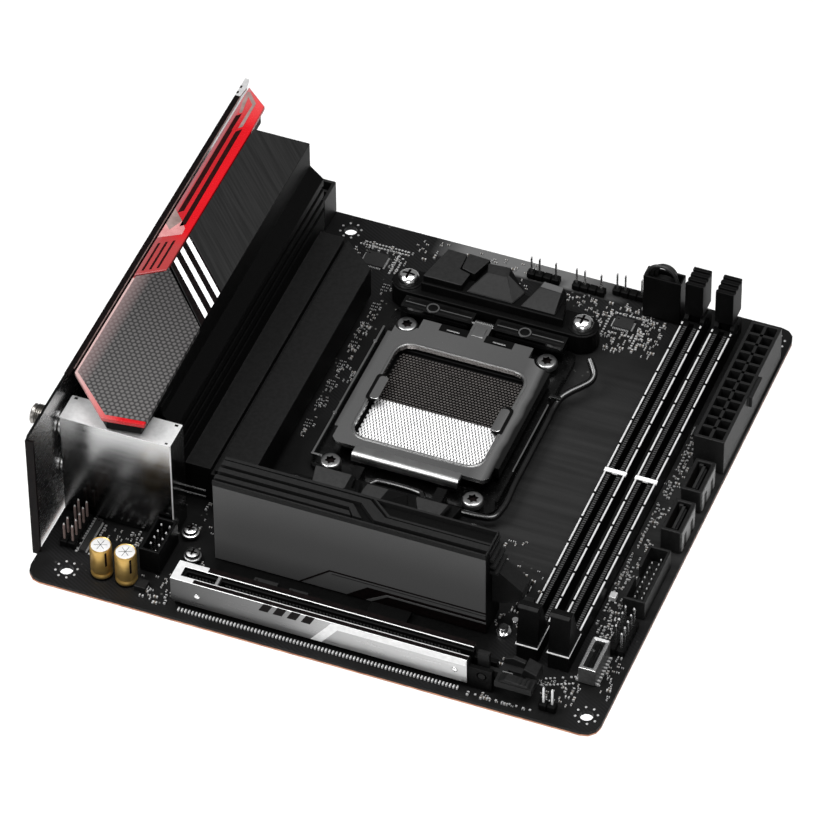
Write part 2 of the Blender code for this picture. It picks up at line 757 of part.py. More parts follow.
def socket():
    frame_x = around(SOCKET_X, FRAME_W)
    frame_y = (SOCKET_Y - FRAME_FRONT, SOCKET_Y + FRAME_BACK)
    base_z = (SEAT, SEAT + FRAME_T)
    well = around(0, SOCKET_W + 2 * SEAT)
    well_x = (SOCKET_X + well[0], SOCKET_X + well[1])
    well_y = (SOCKET_Y + well[0], SOCKET_Y + well[1])
    outline = [rounded(frame_x, frame_y, 3.0), rounded(well_x, well_y, 0.6, 1)]
    frame = plate("socket_frame", outline, "Z", base_z)
    hinge_y = SOCKET_Y + HINGE_Y
    knuckle_y = around(hinge_y, KNUCKLE_D)
    inner = KNUCKLE_GAP / 2
    knuckles = [
        ((SOCKET_X - inner - KNUCKLE_W, SOCKET_X - inner), knuckle_y, (SEAT + JOIN, HINGE_Z + 2.2)),
        ((SOCKET_X + inner, SOCKET_X + inner + KNUCKLE_W), knuckle_y, (SEAT + JOIN, HINGE_Z + 2.2)),
    ]
    lever_y = SOCKET_Y - LEVER_Y
    lug_w = 3.0
    lug_from = 11.0
    lug_y = (lever_y - 2.1, frame_y[0] + 1.5)
    lug_z = (SEAT + JOIN, LEVER_Z + 2.1)
    knuckles += [
        ((SOCKET_X - lug_from - lug_w, SOCKET_X - lug_from), lug_y, lug_z),
        ((SOCKET_X + lug_from, SOCKET_X + lug_from + lug_w), lug_y, lug_z),
    ]
    side_y = (frame_y[0] + 4, SOCKET_Y + 27.0)
    wall_t = 0.8
    knuckles += [
        ((frame_x[0], frame_x[0] + wall_t), side_y, (SEAT + JOIN, 3.6)),
        ((frame_x[1] - wall_t, frame_x[1]), side_y, (SEAT + JOIN, 3.6)),
    ]
    join(frame, boxes("socket_knuckles", knuckles))
    bosses = rods(
        "socket_bosses", "Z", SOCKET_SCREWS, SOCKET_HEAD_R, (SEAT + JOIN, SOCKET_HEAD_Z - SEAT)
    )
    join(frame, bosses)
    holes_z = (-1, SOCKET_HEAD_Z)
    cut(frame, rods("socket_holes", "Z", SOCKET_SCREWS, SOCKET_SHAFT_R + SEAT, holes_z))
    pin_reach = inner + 2.6
    bore = (SOCKET_X - pin_reach - SEAT, SOCKET_X + pin_reach + SEAT)
    cut(frame, rods("socket_hinge_bore", "X", [(hinge_y, HINGE_Z)], TRUNNION_R + HINGE_PLAY, bore))
    lug_bore = around(SOCKET_X, 2 * (lug_from + lug_w + 1))
    cut(frame, rods("socket_lever_bore", "X", [(lever_y, LEVER_Z)], LEVER_R + HINGE_PLAY, lug_bore))
    dress(frame, "dark_steel")

    body_x = around(SOCKET_X, SOCKET_W)
    body_y = around(SOCKET_Y, SOCKET_W)
    body = box("socket_body", body_x, body_y, (SEAT, SOCKET_H))
    field = box(
        "socket_field",
        around(SOCKET_X, WINDOW_W),
        around(SOCKET_Y, WINDOW_W),
        (FIELD_Z, SOCKET_H + 1),
    )
    cut(body, field)
    dress(body, "black_plastic")

    for number, at in enumerate(SOCKET_SCREWS, 1):
        head_z = (SOCKET_HEAD_Z, SOCKET_HEAD_Z + SOCKET_HEAD_H)
        name = f"socket_screw_{number}"
        screw = rods(name, "Z", [at], SOCKET_HEAD_R, head_z, 16)
        shaft_z = (BACKPLATE_Z + SEAT, SOCKET_HEAD_Z + JOIN)
        join(screw, rods(name + "_shaft", "Z", [at], SOCKET_SHAFT_R, shaft_z, 10))
        dress(screw, "steel")
    load_plate(hinge_y, pin_reach)
    load_lever(lever_y)


def load_plate(hinge_y, pin_reach):
    x = around(SOCKET_X, PLATE_W)
    y = (SOCKET_Y - PLATE_FRONT, hinge_y - PLATE_BACK)
    notch = 6.8
    low_notch = 2.6
    outline = [
        (x[0], y[0] + 1.5),
        (x[0] + 1.5, y[0]),
        (x[1] - 1.5, y[0]),
        (x[1], y[0] + 1.5),
        (x[1], y[1] - notch + low_notch),
        (x[1] - notch, y[1] - notch + low_notch),
        (x[1] - notch, y[1]),
        (x[0] + notch, y[1]),
        (x[0] + notch, y[1] - notch + low_notch),
        (x[0], y[1] - notch + low_notch),
    ]
    half = WINDOW_W / 2
    z = (PLATE_Z, PLATE_Z + PLATE_T)
    window = rounded(around(SOCKET_X, WINDOW_W), around(SOCKET_Y, WINDOW_W + 0.7), 4.5)
    lid = plate("load_plate", [outline, window], "Z", z)
    pad_y = around(SOCKET_Y, 9.0)
    pads = [
        ((SOCKET_X - half - 1, SOCKET_X - half + 1.6), pad_y, (z[0] - 0.5, z[1] - 0.2)),
        ((SOCKET_X + half - 1.6, SOCKET_X + half + 1), pad_y, (z[0] - 0.5, z[1] - 0.2)),
    ]
    join(lid, boxes("load_plate_pads", pads))
    fold_y = (y[0] + 6, y[1] - 8)
    fold_z = (SEAT + FRAME_T + 1.2, z[1])
    folds = [
        ((x[0] - FOLD_T, x[0] + JOIN), fold_y, fold_z),
        ((x[1] - JOIN, x[1] + FOLD_T), fold_y, fold_z),
    ]
    join(lid, boxes("load_plate_folds", folds))
    tongue = box("load_plate_tongue", around(SOCKET_X, 32), (y[0] - 3.2, y[0] + 1), (z[0] - 0.7, z[1] - 0.6))
    join(lid, tongue)
    tab_w = KNUCKLE_GAP - 2 * SIDE_PLAY
    tab_x = around(SOCKET_X, tab_w)
    tab_z = (HINGE_Z - 0.2, z[1] - 0.2)
    join(lid, box("load_plate_tab", tab_x, (y[1] - 1, hinge_y), tab_z))
    join(lid, rods("load_plate_barrel", "X", [(hinge_y, HINGE_Z)], HINGE_R, tab_x, 16))
    pin_x = (SOCKET_X - pin_reach, SOCKET_X + pin_reach)
    join(lid, rods("load_plate_pin", "X", [(hinge_y, HINGE_Z)], TRUNNION_R, pin_x))
    hang_on(lid, (SOCKET_X, hinge_y, HINGE_Z))
    dress(lid, "dark_steel")


def wire(name, points, radius, pivot):
    """A round wire through its points, as a mesh whose origin is on the pivot."""
    curve = bpy.data.curves.new(name, "CURVE")
    curve.dimensions = "3D"
    curve.bevel_depth = radius * MM
    curve.bevel_resolution = 2
    curve.use_fill_caps = True
    spline = curve.splines.new("POLY")
    spline.points.add(len(points) - 1)
    for point, place in zip(spline.points, points):
        point.co = (*((Vector(place) - Vector(pivot)) * MM), 1)
    obj = bpy.data.objects.new(name, curve)
    obj.parent = DATUM
    obj.location = Vector(pivot) * MM
    PARTS.objects.link(obj)
    return obj


def load_lever(y):
    z = LEVER_Z
    arm = SOCKET_X + LEVER_ARM_X
    points = [
        (SOCKET_X - LEVER_END, y, z),
        (SOCKET_X - CRANK_FOOT, y, z),
        (SOCKET_X - CRANK_HALF, y + CRANK, z),
        (SOCKET_X + CRANK_HALF, y + CRANK, z),
        (SOCKET_X + CRANK_FOOT, y, z),
        (arm - LEVER_BEND, y, z),
        (arm - LEVER_CORNER, y + LEVER_CORNER, z),
        (arm, y + LEVER_BEND, z),
    ]
    points += [(arm + out, y + far, z + up) for out, far, up in HANDLE]
    dress(wire("load_lever", points, LEVER_R, (SOCKET_X, y, z)), "dark_steel")


def backplate():
    x = around(SOCKET_X, COOLER_SPAN_X + 2 * BACKPLATE_RIM)
    y = around(SOCKET_Y, COOLER_SPAN_Y + 2 * BACKPLATE_RIM)
    window = rounded(around(SOCKET_X, BACKPLATE_WINDOW), around(SOCKET_Y, BACKPLATE_WINDOW), 3.0)
    holes = [ring(at, COOLER_SHAFT_R + SEAT) for at in COOLER_POINTS]
    holes += [ring(at, SOCKET_SHAFT_R + SEAT) for at in SOCKET_SCREWS]
    z = (BACKPLATE_Z, BACKPLATE_Z + BACKPLATE_T)
    dress(plate("socket_backplate", [rounded(x, y, 5.0), window] + holes, "Z", z), "black_metal")


def cooler_brackets():
    half = COOLER_SPAN_X / 2
    for name, side in (("top", 1), ("bottom", -1)):
        y = SOCKET_Y + side * COOLER_SPAN_Y / 2
        bar_y = sorted((y - side * BAR_IN, y + side * BAR_OUT))
        title = f"cooler_bracket_{name}"
        bracket = box(title, around(SOCKET_X, COOLER_SPAN_X), bar_y, (SEAT, BAR_H))
        lobes = [(SOCKET_X - half, y), (SOCKET_X + half, y)]
        join(bracket, rods(title + "_lobes", "Z", lobes, LOBE_R, (SEAT, LOBE_H), 20))
        wing = [(SOCKET_X + across, y + side * out) for across, out in WING]
        join(bracket, plate(title + "_wing", [wing], "Z", (SEAT, WING_H)))
        holes = rods(title + "_holes", "Z", lobes, COOLER_SHAFT_R + SEAT, (-1, LOBE_H + 1))
        cut(bracket, holes)
        dress(bracket, "black_plastic")
    for number, at in enumerate(COOLER_POINTS, 1):
        name = f"cooler_screw_{number}"
        head_z = (LOBE_H + SEAT, LOBE_H + SEAT + COOLER_HEAD_H)
        screw = rods(name, "Z", [at], COOLER_HEAD_R, head_z, 16)
        shaft_z = (BACKPLATE_Z + SEAT, head_z[0] + JOIN)
        join(screw, rods(name + "_shaft", "Z", [at], COOLER_SHAFT_R, shaft_z, 10))
        dress(screw, "steel")


def memory_slots():
    for number in (1, 2):
        x0 = DIMM_X + (number - 1) * DIMM_PITCH
        memory_slot(number, (x0, x0 + DIMM_W))


def memory_slot(number, x):
    name = f"dimm_slot_{number}"
    middle = sum(x) / 2
    pivot_y = DIMM_END - 4.0
    rail_end = pivot_y - CHEEK_R - SIDE_PLAY
    slot = box(name, x, (DIMM_Y + 1, rail_end), (SEAT, DIMM_H))
    tower = [
        (DIMM_Y, SEAT),
        (DIMM_Y, DIMM_H),
        (DIMM_Y + 2.0, TOWER_H),
        (DIMM_Y + 3.5, TOWER_H),
        (DIMM_Y + TOWER_L, DIMM_H),
        (DIMM_Y + TOWER_L, SEAT),
    ]
    join(slot, plate(name + "_tower", [tower], "X", x))
    groove = [(around(middle, DIMM_GROOVE), (DIMM_Y + 3.6, rail_end + 1), (2.4, TOWER_H + 1))]
    cut(slot, boxes(name + "_groove", groove))
    join(slot, box(name + "_tail", x, (rail_end - JOIN, DIMM_END), (SEAT, PIVOT_Z)))
    join(slot, rods(name + "_cheeks", "X", [(pivot_y, PIVOT_Z)], CHEEK_R, x, 20))
    pocket_x = (x[0] + CHEEK_T, x[1] - CHEEK_T)
    pocket_y = (rail_end + 1.0, DIMM_END + 1)
    cut(slot, box(name + "_pocket", pocket_x, pocket_y, (SEAT + 1.0, DIMM_H + 5)))
    pin_x = (x[0] - 1, x[1] + 1)
    cut(slot, rods(name + "_pivot", "X", [(pivot_y, PIVOT_Z)], PIVOT_R + HINGE_PLAY, pin_x))
    dress(slot, "black_plastic")

    title = f"dimm_latch_{number}"
    clear_z = PIVOT_Z + CHEEK_R + SIDE_PLAY
    latch_y = (DIMM_END - LATCH_L + SEAT, DIMM_END + SEAT)
    latch = box(title, (x[0] + 0.2, x[1] - 0.4), latch_y, (clear_z, LATCH_H))
    tongue_x = (pocket_x[0] + SIDE_PLAY, pocket_x[1] - SIDE_PLAY)
    tongue_z = (PIVOT_Z - 1.9, clear_z + JOIN)
    join(latch, box(title + "_tongue", tongue_x, around(pivot_y, 3.8), tongue_z))
    pin_span = (x[0] + 0.2, x[1] - 0.2)
    join(latch, rods(title + "_pin", "X", [(pivot_y, PIVOT_Z)], PIVOT_R, pin_span))
    ribs = [
        (
            (x[0] - 1, x[1] + 1),
            (DIMM_END - LATCH_L + 1.4 + 2.2 * row, DIMM_END - LATCH_L + 2.4 + 2.2 * row),
            (LATCH_H - 0.8, LATCH_H + 1),
        )
        for row in range(3)
    ]
    cut(latch, boxes(title + "_ribs", ribs))
    hang_on(latch, (middle, pivot_y, PIVOT_Z))
    dress(latch, "black_plastic")


def shroud(name, x, y, top, wall, floor, look):
    """A connector's open-topped housing."""
    body = box(name, x, y, (SEAT, top))
    inside_x = (x[0] + wall, x[1] - wall)
    inside_y = (y[0] + wall, y[1] - wall)
    cut(body, box(name + "_inside", inside_x, inside_y, (floor, top + 1)))
    return dress(body, look)


def power_connectors():
    y = (BOARD_Y - ATX_BACK - ATX_L, BOARD_Y - ATX_BACK)
    x = (ATX_X, ATX_X + ATX_W)
    body = shroud("atx_power_connector", x, y, ATX_H, PLUG_WALL, PLUG_FLOOR, "black_plastic")
    clip_y = around(sum(y) / 2, 9.0)
    join(body, box("atx_clip", (x[1] - JOIN, x[1] + CLIP_OUT), clip_y, (ATX_H - 4.5, ATX_H - 0.6)))
    plug_x = (CPU_PLUG_X, CPU_PLUG_X + CPU_PLUG_W)
    plug_y = (BOARD_Y - CPU_PLUG_L, BOARD_Y)
    shroud(
        "cpu_power_connector", plug_x, plug_y, CPU_PLUG_H, PLUG_WALL, PLUG_FLOOR, "black_plastic"
    )


def edge_connectors():
    x0 = ATX_X + EDGE_SETBACK
    top = BOARD_Y - ATX_BACK - ATX_L - SATA_SPACE
    for number in (1, 2):
        name = f"sata_port_{number}"
        y = (top - SATA_L, top)
        port = shroud(name, (x0, x0 + SATA_W), y, SATA_H, 1.1, PLUG_FLOOR, "black_plastic")
        tongue_y = (y[0] + 2.2, y[1] - 2.2)
        tongue_x = (x0 + SATA_W - 2.9, x0 + SATA_W - 1.8)
        join(port, box(name + "_tongue", tongue_x, tongue_y, (PLUG_FLOOR - JOIN, SATA_H - 1.0)))
        top -= SATA_L + SATA_SPACE
    usb_x = (x0 - 1.2, x0 - 1.2 + USB3_W)
    usb_y = (top - USB3_SPACE + SATA_SPACE - USB3_L, top - USB3_SPACE + SATA_SPACE)
    header = shroud("usb_header", usb_x, usb_y, USB3_H, 0.8, 1.6, "black_plastic")
    key = (usb_x[0] - 1, usb_x[0] + 1.5)
    cut(header, box("usb_header_key", key, around(sum(usb_y) / 2, 4.0), (2.4, USB3_H + 1)))
    panel_y = usb_y[0] - 4.1 - 4 * PIN_PITCH
    panel_x = x0 + 1.1
    pins = [(0, row) for row in range(1, 5)] + [(1, row) for row in range(5)]
    pin_header("front_panel_header", (panel_x, panel_y), (2, 5), pins)
    usbc_y = (panel_y - 1.7 - USBC_L, panel_y - 1.7)
    usbc_x = (x0 - 3.9, x0 - 3.9 + USBC_W)
    shroud("usb_c_header", usbc_x, usbc_y, USBC_H, 1.1, 1.8, "steel")


def pin_header(name, first, size, pins):
    """Square pins on a plastic base. Each pin is (column, row) from the first."""
    x = (first[0] - HEADER_RIM, first[0] + (size[0] - 1) * PIN_PITCH + HEADER_RIM)
    y = (first[1] - HEADER_RIM, first[1] + (size[1] - 1) * PIN_PITCH + HEADER_RIM)
    base = box(name, x, y, (SEAT, HEADER_BASE_H))
    spans = [
        (
            around(first[0] + column * PIN_PITCH, PIN_SIDE),
            around(first[1] + row * PIN_PITCH, PIN_SIDE),
            (HEADER_BASE_H - JOIN, PIN_TOP),
        )
        for column, row in pins
    ]
    join(base, boxes(name + "_pins", spans))
    return dress(base, "black_plastic")


def pin_headers():
    rows = [(0, row) for row in (0, 1, 3, 4)] + [(1, row) for row in range(5)]
    pin_header("audio_header", (5.9, 15.1), (2, 5), rows)
    pin_header("system_header", (LATCH_END + HEADER_FROM_LATCH, PCIE_Y + 0.7), (2, 1), [(0, 0), (1, 0)])
    usb2_x = around(M2_X - 15.0, 6.2)
    shroud("usb2_header", usb2_x, around(20.4, 13.6), 8.6, 0.9, 2.0, "black_plastic")
    led_y = BOARD_Y - 6.0
    starts = (
        (SOCKET_X + 3.5, led_y),
        (SOCKET_X + 17.6, led_y),
        (SOCKET_X + 29.4, led_y + 2.2),
    )
    for number, at in enumerate(starts, 1):
        pin_header(f"led_header_{number}", at, (4, 1), [(0, 0), (1, 0), (3, 0)])


def chipset():
    side = 12.0
    x = around(M2_X + M2_L * 0.66, side)
    dress(box("chipset", x, around((PCIE_BACK + M2_Y) / 2, side), (SEAT, 1.6)), "chip")


def capacitors():
    """Turned cans with a rolled groove near the foot."""
    half = [(0, CAP_H), (CAP_R - 0.5, CAP_H), (CAP_R, CAP_H - 0.5), (CAP_R, 2.6), (CAP_R - 0.35, 2.2)]
    half += [(CAP_R - 0.35, 1.8), (CAP_R, 1.4), (CAP_R, SEAT), (0, SEAT)]
    for number in (1, 2):
        mesh = bpy.data.meshes.new(f"capacitor_{number}")
        points = [(radius * MM, 0, z * MM) for radius, z in half]
        mesh.from_pydata(points, [(i, i + 1) for i in range(len(points) - 1)], [])
        can = bpy.data.objects.new(f"capacitor_{number}", mesh)
        can.parent = DATUM
        can.location = Vector((CAP_X + (number - 1) * CAP_SPACE, CAP_Y, 0)) * MM
        PARTS.objects.link(can)
        turn = can.modifiers.new("turn", "SCREW")
        turn.steps = 20
        turn.render_steps = 20
        turn.use_merge_vertices = True
        turn.merge_threshold = 0.00001
        dress(can, "gold_sleeve")


def battery():
    x = (DIMM_X - 2.3 - HOLDER_W, DIMM_X - 2.3)
    y = (BOARD_Y - 10.0, BOARD_Y - 10.0 + HOLDER_D)
    wall = (HOLDER_D - CELL_T) / 2 - SEAT
    holder = box("battery_holder", x, y, (SEAT, HOLDER_H))
    inside_x = around(sum(x) / 2, 2 * (CELL_R + SEAT))
    inside_y = (y[0] + wall, y[1] - wall)
    floor = HOLDER_H - 2 * CELL_R - 1.2
    cut(holder, box("battery_holder_inside", inside_x, inside_y, (floor, HOLDER_H + 1)))
    dress(holder, "black_plastic")
    middle = (sum(x) / 2, sum(y) / 2)
    cell_z = floor + SEAT + CELL_R
    cell = rods("coin_cell", "Y", [(middle[0], cell_z)], CELL_R, around(middle[1], CELL_T), 20)
    dress(cell, "steel")
    top = HOLDER_H + SEAT + LEAD_R
    lead = [
        (x[0] + 1.0, middle[1], top),
        (x[0] + 2.6, middle[1] + 0.6, top + 2.6),
        (x[0] + 5.2, middle[1] + 0.8, top + 3.8),
        (x[0] + 8.0, middle[1] + 0.6, top + 2.8),
        (x[1] - 1.4, middle[1], top),
    ]
    dress(wire("battery_lead", lead, LEAD_R, (middle[0], middle[1], top)), "black_plastic")


circuit_board()
rear_ports()
rear_plate()
antenna_jacks()
wifi()
vrm()
m2_drive_bay()
card_slot()
socket()
backplate()
cooler_brackets()
memory_slots()
power_connectors()
edge_connectors()
pin_headers()
chipset()
capacitors()
battery()
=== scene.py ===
"""The looks of a small main board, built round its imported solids.

Sizes are millimetres from the board's front left corner: X runs away from the rear ports,
Y away from the card slot's edge, and Z up from the board's top face.
"""

import math
import random

import bmesh
import bpy
from mathutils import Matrix, Vector

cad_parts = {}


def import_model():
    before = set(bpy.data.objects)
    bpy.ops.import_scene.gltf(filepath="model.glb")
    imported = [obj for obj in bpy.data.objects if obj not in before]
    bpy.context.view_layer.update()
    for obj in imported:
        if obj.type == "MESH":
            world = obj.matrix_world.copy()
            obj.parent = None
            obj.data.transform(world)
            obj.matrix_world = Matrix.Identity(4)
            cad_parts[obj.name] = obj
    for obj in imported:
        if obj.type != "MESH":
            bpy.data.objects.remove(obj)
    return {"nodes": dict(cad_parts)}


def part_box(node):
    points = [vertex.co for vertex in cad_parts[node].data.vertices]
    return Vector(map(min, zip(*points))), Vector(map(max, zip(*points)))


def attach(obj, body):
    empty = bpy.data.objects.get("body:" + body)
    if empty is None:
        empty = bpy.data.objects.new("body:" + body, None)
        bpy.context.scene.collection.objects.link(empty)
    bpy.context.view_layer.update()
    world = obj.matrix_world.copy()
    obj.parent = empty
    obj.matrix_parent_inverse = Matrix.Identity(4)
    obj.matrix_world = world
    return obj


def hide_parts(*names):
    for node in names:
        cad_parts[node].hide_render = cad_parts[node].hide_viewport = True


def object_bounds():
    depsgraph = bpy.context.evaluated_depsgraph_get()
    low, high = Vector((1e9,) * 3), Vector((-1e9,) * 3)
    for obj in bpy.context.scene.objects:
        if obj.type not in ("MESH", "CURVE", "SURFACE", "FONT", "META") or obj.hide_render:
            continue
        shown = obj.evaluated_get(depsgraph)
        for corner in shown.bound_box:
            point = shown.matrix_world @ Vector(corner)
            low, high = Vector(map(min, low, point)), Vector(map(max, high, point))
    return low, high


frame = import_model()
cad_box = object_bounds()

MM = 0.001
PHOTO_WIDTH = 815
BOARD_LOW, BOARD_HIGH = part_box("pcb")
CORNER = Vector((BOARD_LOW[0], BOARD_LOW[1], BOARD_HIGH[2]))
DICE = random.Random(7)
VIEW_TURN, VIEW_LIFT, VIEW_ROLL = (math.radians(angle) for angle in (21.788, 44.617, -0.612))
VIEW_TARGET = (75.791, 100.411, 0)
VIEW_DISTANCE = 1787.251
FOCAL_PIXELS = 6228.81
SENSOR_WIDTH = 36
FLOOR_DROP = 500
SOCKET_X, SOCKET_Y = 86.5, 98.2


def world(point):
    """A point on the board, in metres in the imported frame."""
    return CORNER + Vector(point) * MM


def span(node):
    """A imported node's X, Y and Z runs in board millimetres."""
    low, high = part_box(node)
    return [((a - c) / MM, (b - c) / MM) for a, b, c in zip(low, high, CORNER)]


def middle_y(node):
    """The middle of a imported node's Y run."""
    return sum(span(node)[1]) / 2


# Camera and light


def studio():
    """The camera at the photo's place, a pale floor far below the board and soft light."""
    level = Vector((math.cos(VIEW_TURN), math.sin(VIEW_TURN), 0))
    behind = Vector((math.sin(VIEW_TURN), -math.cos(VIEW_TURN), 0))
    back = math.cos(VIEW_LIFT) * behind + math.sin(VIEW_LIFT) * Vector((0, 0, 1))
    top = back.cross(level)
    right = math.cos(VIEW_ROLL) * level + math.sin(VIEW_ROLL) * top
    up = math.cos(VIEW_ROLL) * top - math.sin(VIEW_ROLL) * level
    camera = bpy.data.objects.new("camera", bpy.data.cameras.new("camera"))
    camera.data.sensor_width = SENSOR_WIDTH
    camera.data.lens = SENSOR_WIDTH * FOCAL_PIXELS / PHOTO_WIDTH
    camera.data.clip_end = 50
    place = world(VIEW_TARGET) + back * VIEW_DISTANCE * MM
    camera.matrix_world = Matrix.Translation(place) @ Matrix((right, up, back)).transposed().to_4x4()
    bpy.context.scene.collection.objects.link(camera)
    bpy.context.scene.camera = camera

    bm = bmesh.new()
    bmesh.ops.create_grid(bm, x_segments=8, y_segments=8, size=4)
    bmesh.ops.translate(bm, vec=(0, 0, cad_box[0][2] - FLOOR_DROP * MM), verts=bm.verts)
    mesh = bpy.data.meshes.new("floor")
    bm.to_mesh(mesh)
    bm.free()
    floor = bpy.data.objects.new("floor", mesh)
    mesh.materials.append(finish("floor_paper", *grey(0.915, 0.925), (0.8, 0.9), grain=40))
    bpy.context.scene.collection.objects.link(floor)

    sky = bpy.data.worlds.new("studio")
    sky.use_nodes = True
    sky.node_tree.nodes["Background"].inputs["Color"].default_value = (1, 1, 1, 1)
    sky.node_tree.nodes["Background"].inputs["Strength"].default_value = 0.2
    bpy.context.scene.world = sky
    lamp("key_light", (-1.1, -0.7, 1.8), 1.3, 52)
    lamp("top_light", (0.5, 0.1, 2.2), 1.5, 44)
    lamp("front_light", (0.6, -1.9, 0.8), 1.0, 13)
    bpy.context.scene.view_settings.view_transform = "Standard"


def lamp(name, place, size, power):
    """A soft square light, in metres, aimed at the origin."""
    light = bpy.data.lights.new(name, "AREA")
    light.size = size
    light.energy = power
    holder = bpy.data.objects.new(name, light)
    turn = Vector(place).to_track_quat("Z", "Y").to_matrix().to_4x4()
    holder.matrix_world = Matrix.Translation(place) @ turn
    bpy.context.scene.collection.objects.link(holder)


# Finishes


def blank(name):
    """A new material, its node tree and its shader."""
    material = bpy.data.materials.new(name)
    material.use_nodes = True
    return material, material.node_tree, material.node_tree.nodes["Principled BSDF"]


def coordinates(tree, stretch=(1, 1, 1), turn=0.0):
    """The piece's own coordinates, turned about Z, with finer detail along a stretched axis."""
    source = tree.nodes.new("ShaderNodeTexCoord")
    mapping = tree.nodes.new("ShaderNodeMapping")
    mapping.vector_type = "TEXTURE"
    mapping.inputs["Scale"].default_value = [1 / amount for amount in stretch]
    mapping.inputs["Rotation"].default_value = (0, 0, turn)
    tree.links.new(source.outputs["Object"], mapping.inputs["Vector"])
    return mapping.outputs["Vector"]


def cloud(tree, per_metre, stretch=(1, 1, 1), turn=0.0, detail=3.0):
    """Soft noise with so many lumps in a metre."""
    noise = tree.nodes.new("ShaderNodeTexNoise")
    noise.inputs["Scale"].default_value = per_metre
    noise.inputs["Detail"].default_value = detail
    tree.links.new(coordinates(tree, stretch, turn), noise.inputs["Vector"])
    return noise.outputs["Fac"]


def tint(tree, value, stops):
    """Colours along a value: each stop is (position, colour)."""
    ramp = tree.nodes.new("ShaderNodeValToRGB")
    while len(ramp.color_ramp.elements) < len(stops):
        ramp.color_ramp.elements.new(0.5)
    for element, (position, colour) in zip(ramp.color_ramp.elements, stops):
        element.position = position
        element.color = (*colour, 1)
    tree.links.new(value, ramp.inputs["Fac"])
    return ramp.outputs["Color"]


def spread(tree, value, source, target):
    """A value taken from one range to another and held at its ends."""
    node = tree.nodes.new("ShaderNodeMapRange")
    for socket, number in zip(("From Min", "From Max", "To Min", "To Max"), (*source, *target)):
        node.inputs[socket].default_value = number
    tree.links.new(value, node.inputs["Value"])
    return node.outputs["Result"]


def combine(tree, operation, first, second):
    """One sum on two values, each a number or another node's output."""
    node = tree.nodes.new("ShaderNodeMath")
    node.operation = operation
    for socket, value in zip(node.inputs, (first, second)):
        if isinstance(value, (int, float)):
            socket.default_value = value
        else:
            tree.links.new(value, socket)
    return node.outputs["Value"]


def blend(tree, share, first, second):
    """Two colours mixed by a share."""
    node = tree.nodes.new("ShaderNodeMix")
    node.data_type = "RGBA"
    tree.links.new(share, node.inputs["Factor"])
    for socket, colour in zip(("A", "B"), (first, second)):
        target = [entry for entry in node.inputs if entry.name == socket and entry.type == "RGBA"][0]
        if isinstance(colour, tuple):
            target.default_value = (*colour, 1)
        else:
            tree.links.new(colour, target)
    return [entry for entry in node.outputs if entry.type == "RGBA"][0]


def relief(tree, shader, height, strength, depth):
    """Bumps from a value, so many millimetres deep."""
    bump = tree.nodes.new("ShaderNodeBump")
    bump.inputs["Strength"].default_value = strength
    bump.inputs["Distance"].default_value = depth * MM
    tree.links.new(height, bump.inputs["Height"])
    tree.links.new(bump.outputs["Normal"], shader.inputs["Normal"])


def finish(name, low, high, rough, metal=0.0, grain=700, stretch=(1, 1, 1), turn=0.0, bump=0.15, gloss=0.5):
    """A plain finish: two close colours and two roughnesses in grain, with fine relief."""
    if name in bpy.data.materials:
        return bpy.data.materials[name]
    material, tree, shader = blank(name)
    lumps = cloud(tree, grain, stretch, turn)
    fine = cloud(tree, grain * 6, stretch, turn, 2.0)
    tree.links.new(tint(tree, lumps, ((0.35, low), (0.65, high))), shader.inputs["Base Color"])
    tree.links.new(spread(tree, fine, (0.3, 0.7), rough), shader.inputs["Roughness"])
    shader.inputs["Metallic"].default_value = metal
    shader.inputs["Specular IOR Level"].default_value = gloss
    relief(tree, shader, fine, bump, 0.03)
    return material


def grey(low, high):
    """A darker and a lighter grey."""
    return (low, low, low), (high, high, high)


def axes(tree):
    """The piece's own X, Y and Z."""
    parts = tree.nodes.new("ShaderNodeSeparateXYZ")
    tree.links.new(coordinates(tree), parts.inputs["Vector"])
    return parts.outputs["X"], parts.outputs["Y"], parts.outputs["Z"]


RISE, FALL = (0, 1), (1, 0)
TOP_FACE = (2, (-0.301, -0.299), RISE)
# Painted sheen along the far edge of the top face.
PAINTED_FAR_SHEEN = (TOP_FACE, (1, (162.4, 163.6), (0, 0.9)), (0, (58, 68), RISE), (0, (104, 120), FALL))
# Painted sheen beside the memory slots.
PAINTED_SLOT_SHEEN = (TOP_FACE, (0, (112, 118), RISE), (1, (44, 56), RISE), (1, (118, 150), FALL))
# Painted shadow behind the card slot.
PAINTED_SHADOW_STRIP = ((1, (10, 12), RISE), (1, (26, 30), FALL), (0, (44, 50), RISE), (0, (130, 136), FALL))


def painted_light_patch(tree, fades):
    """A patch of the board where light and shade are painted. Each fade has an axis, the run over which it
    goes and its two ends.
    """
    share = 1.0
    for axis, run, ends in fades:
        limits = [CORNER[axis] + place * MM for place in run]
        share = combine(tree, "MULTIPLY", spread(tree, axes(tree)[axis], limits, ends), share)
    return share


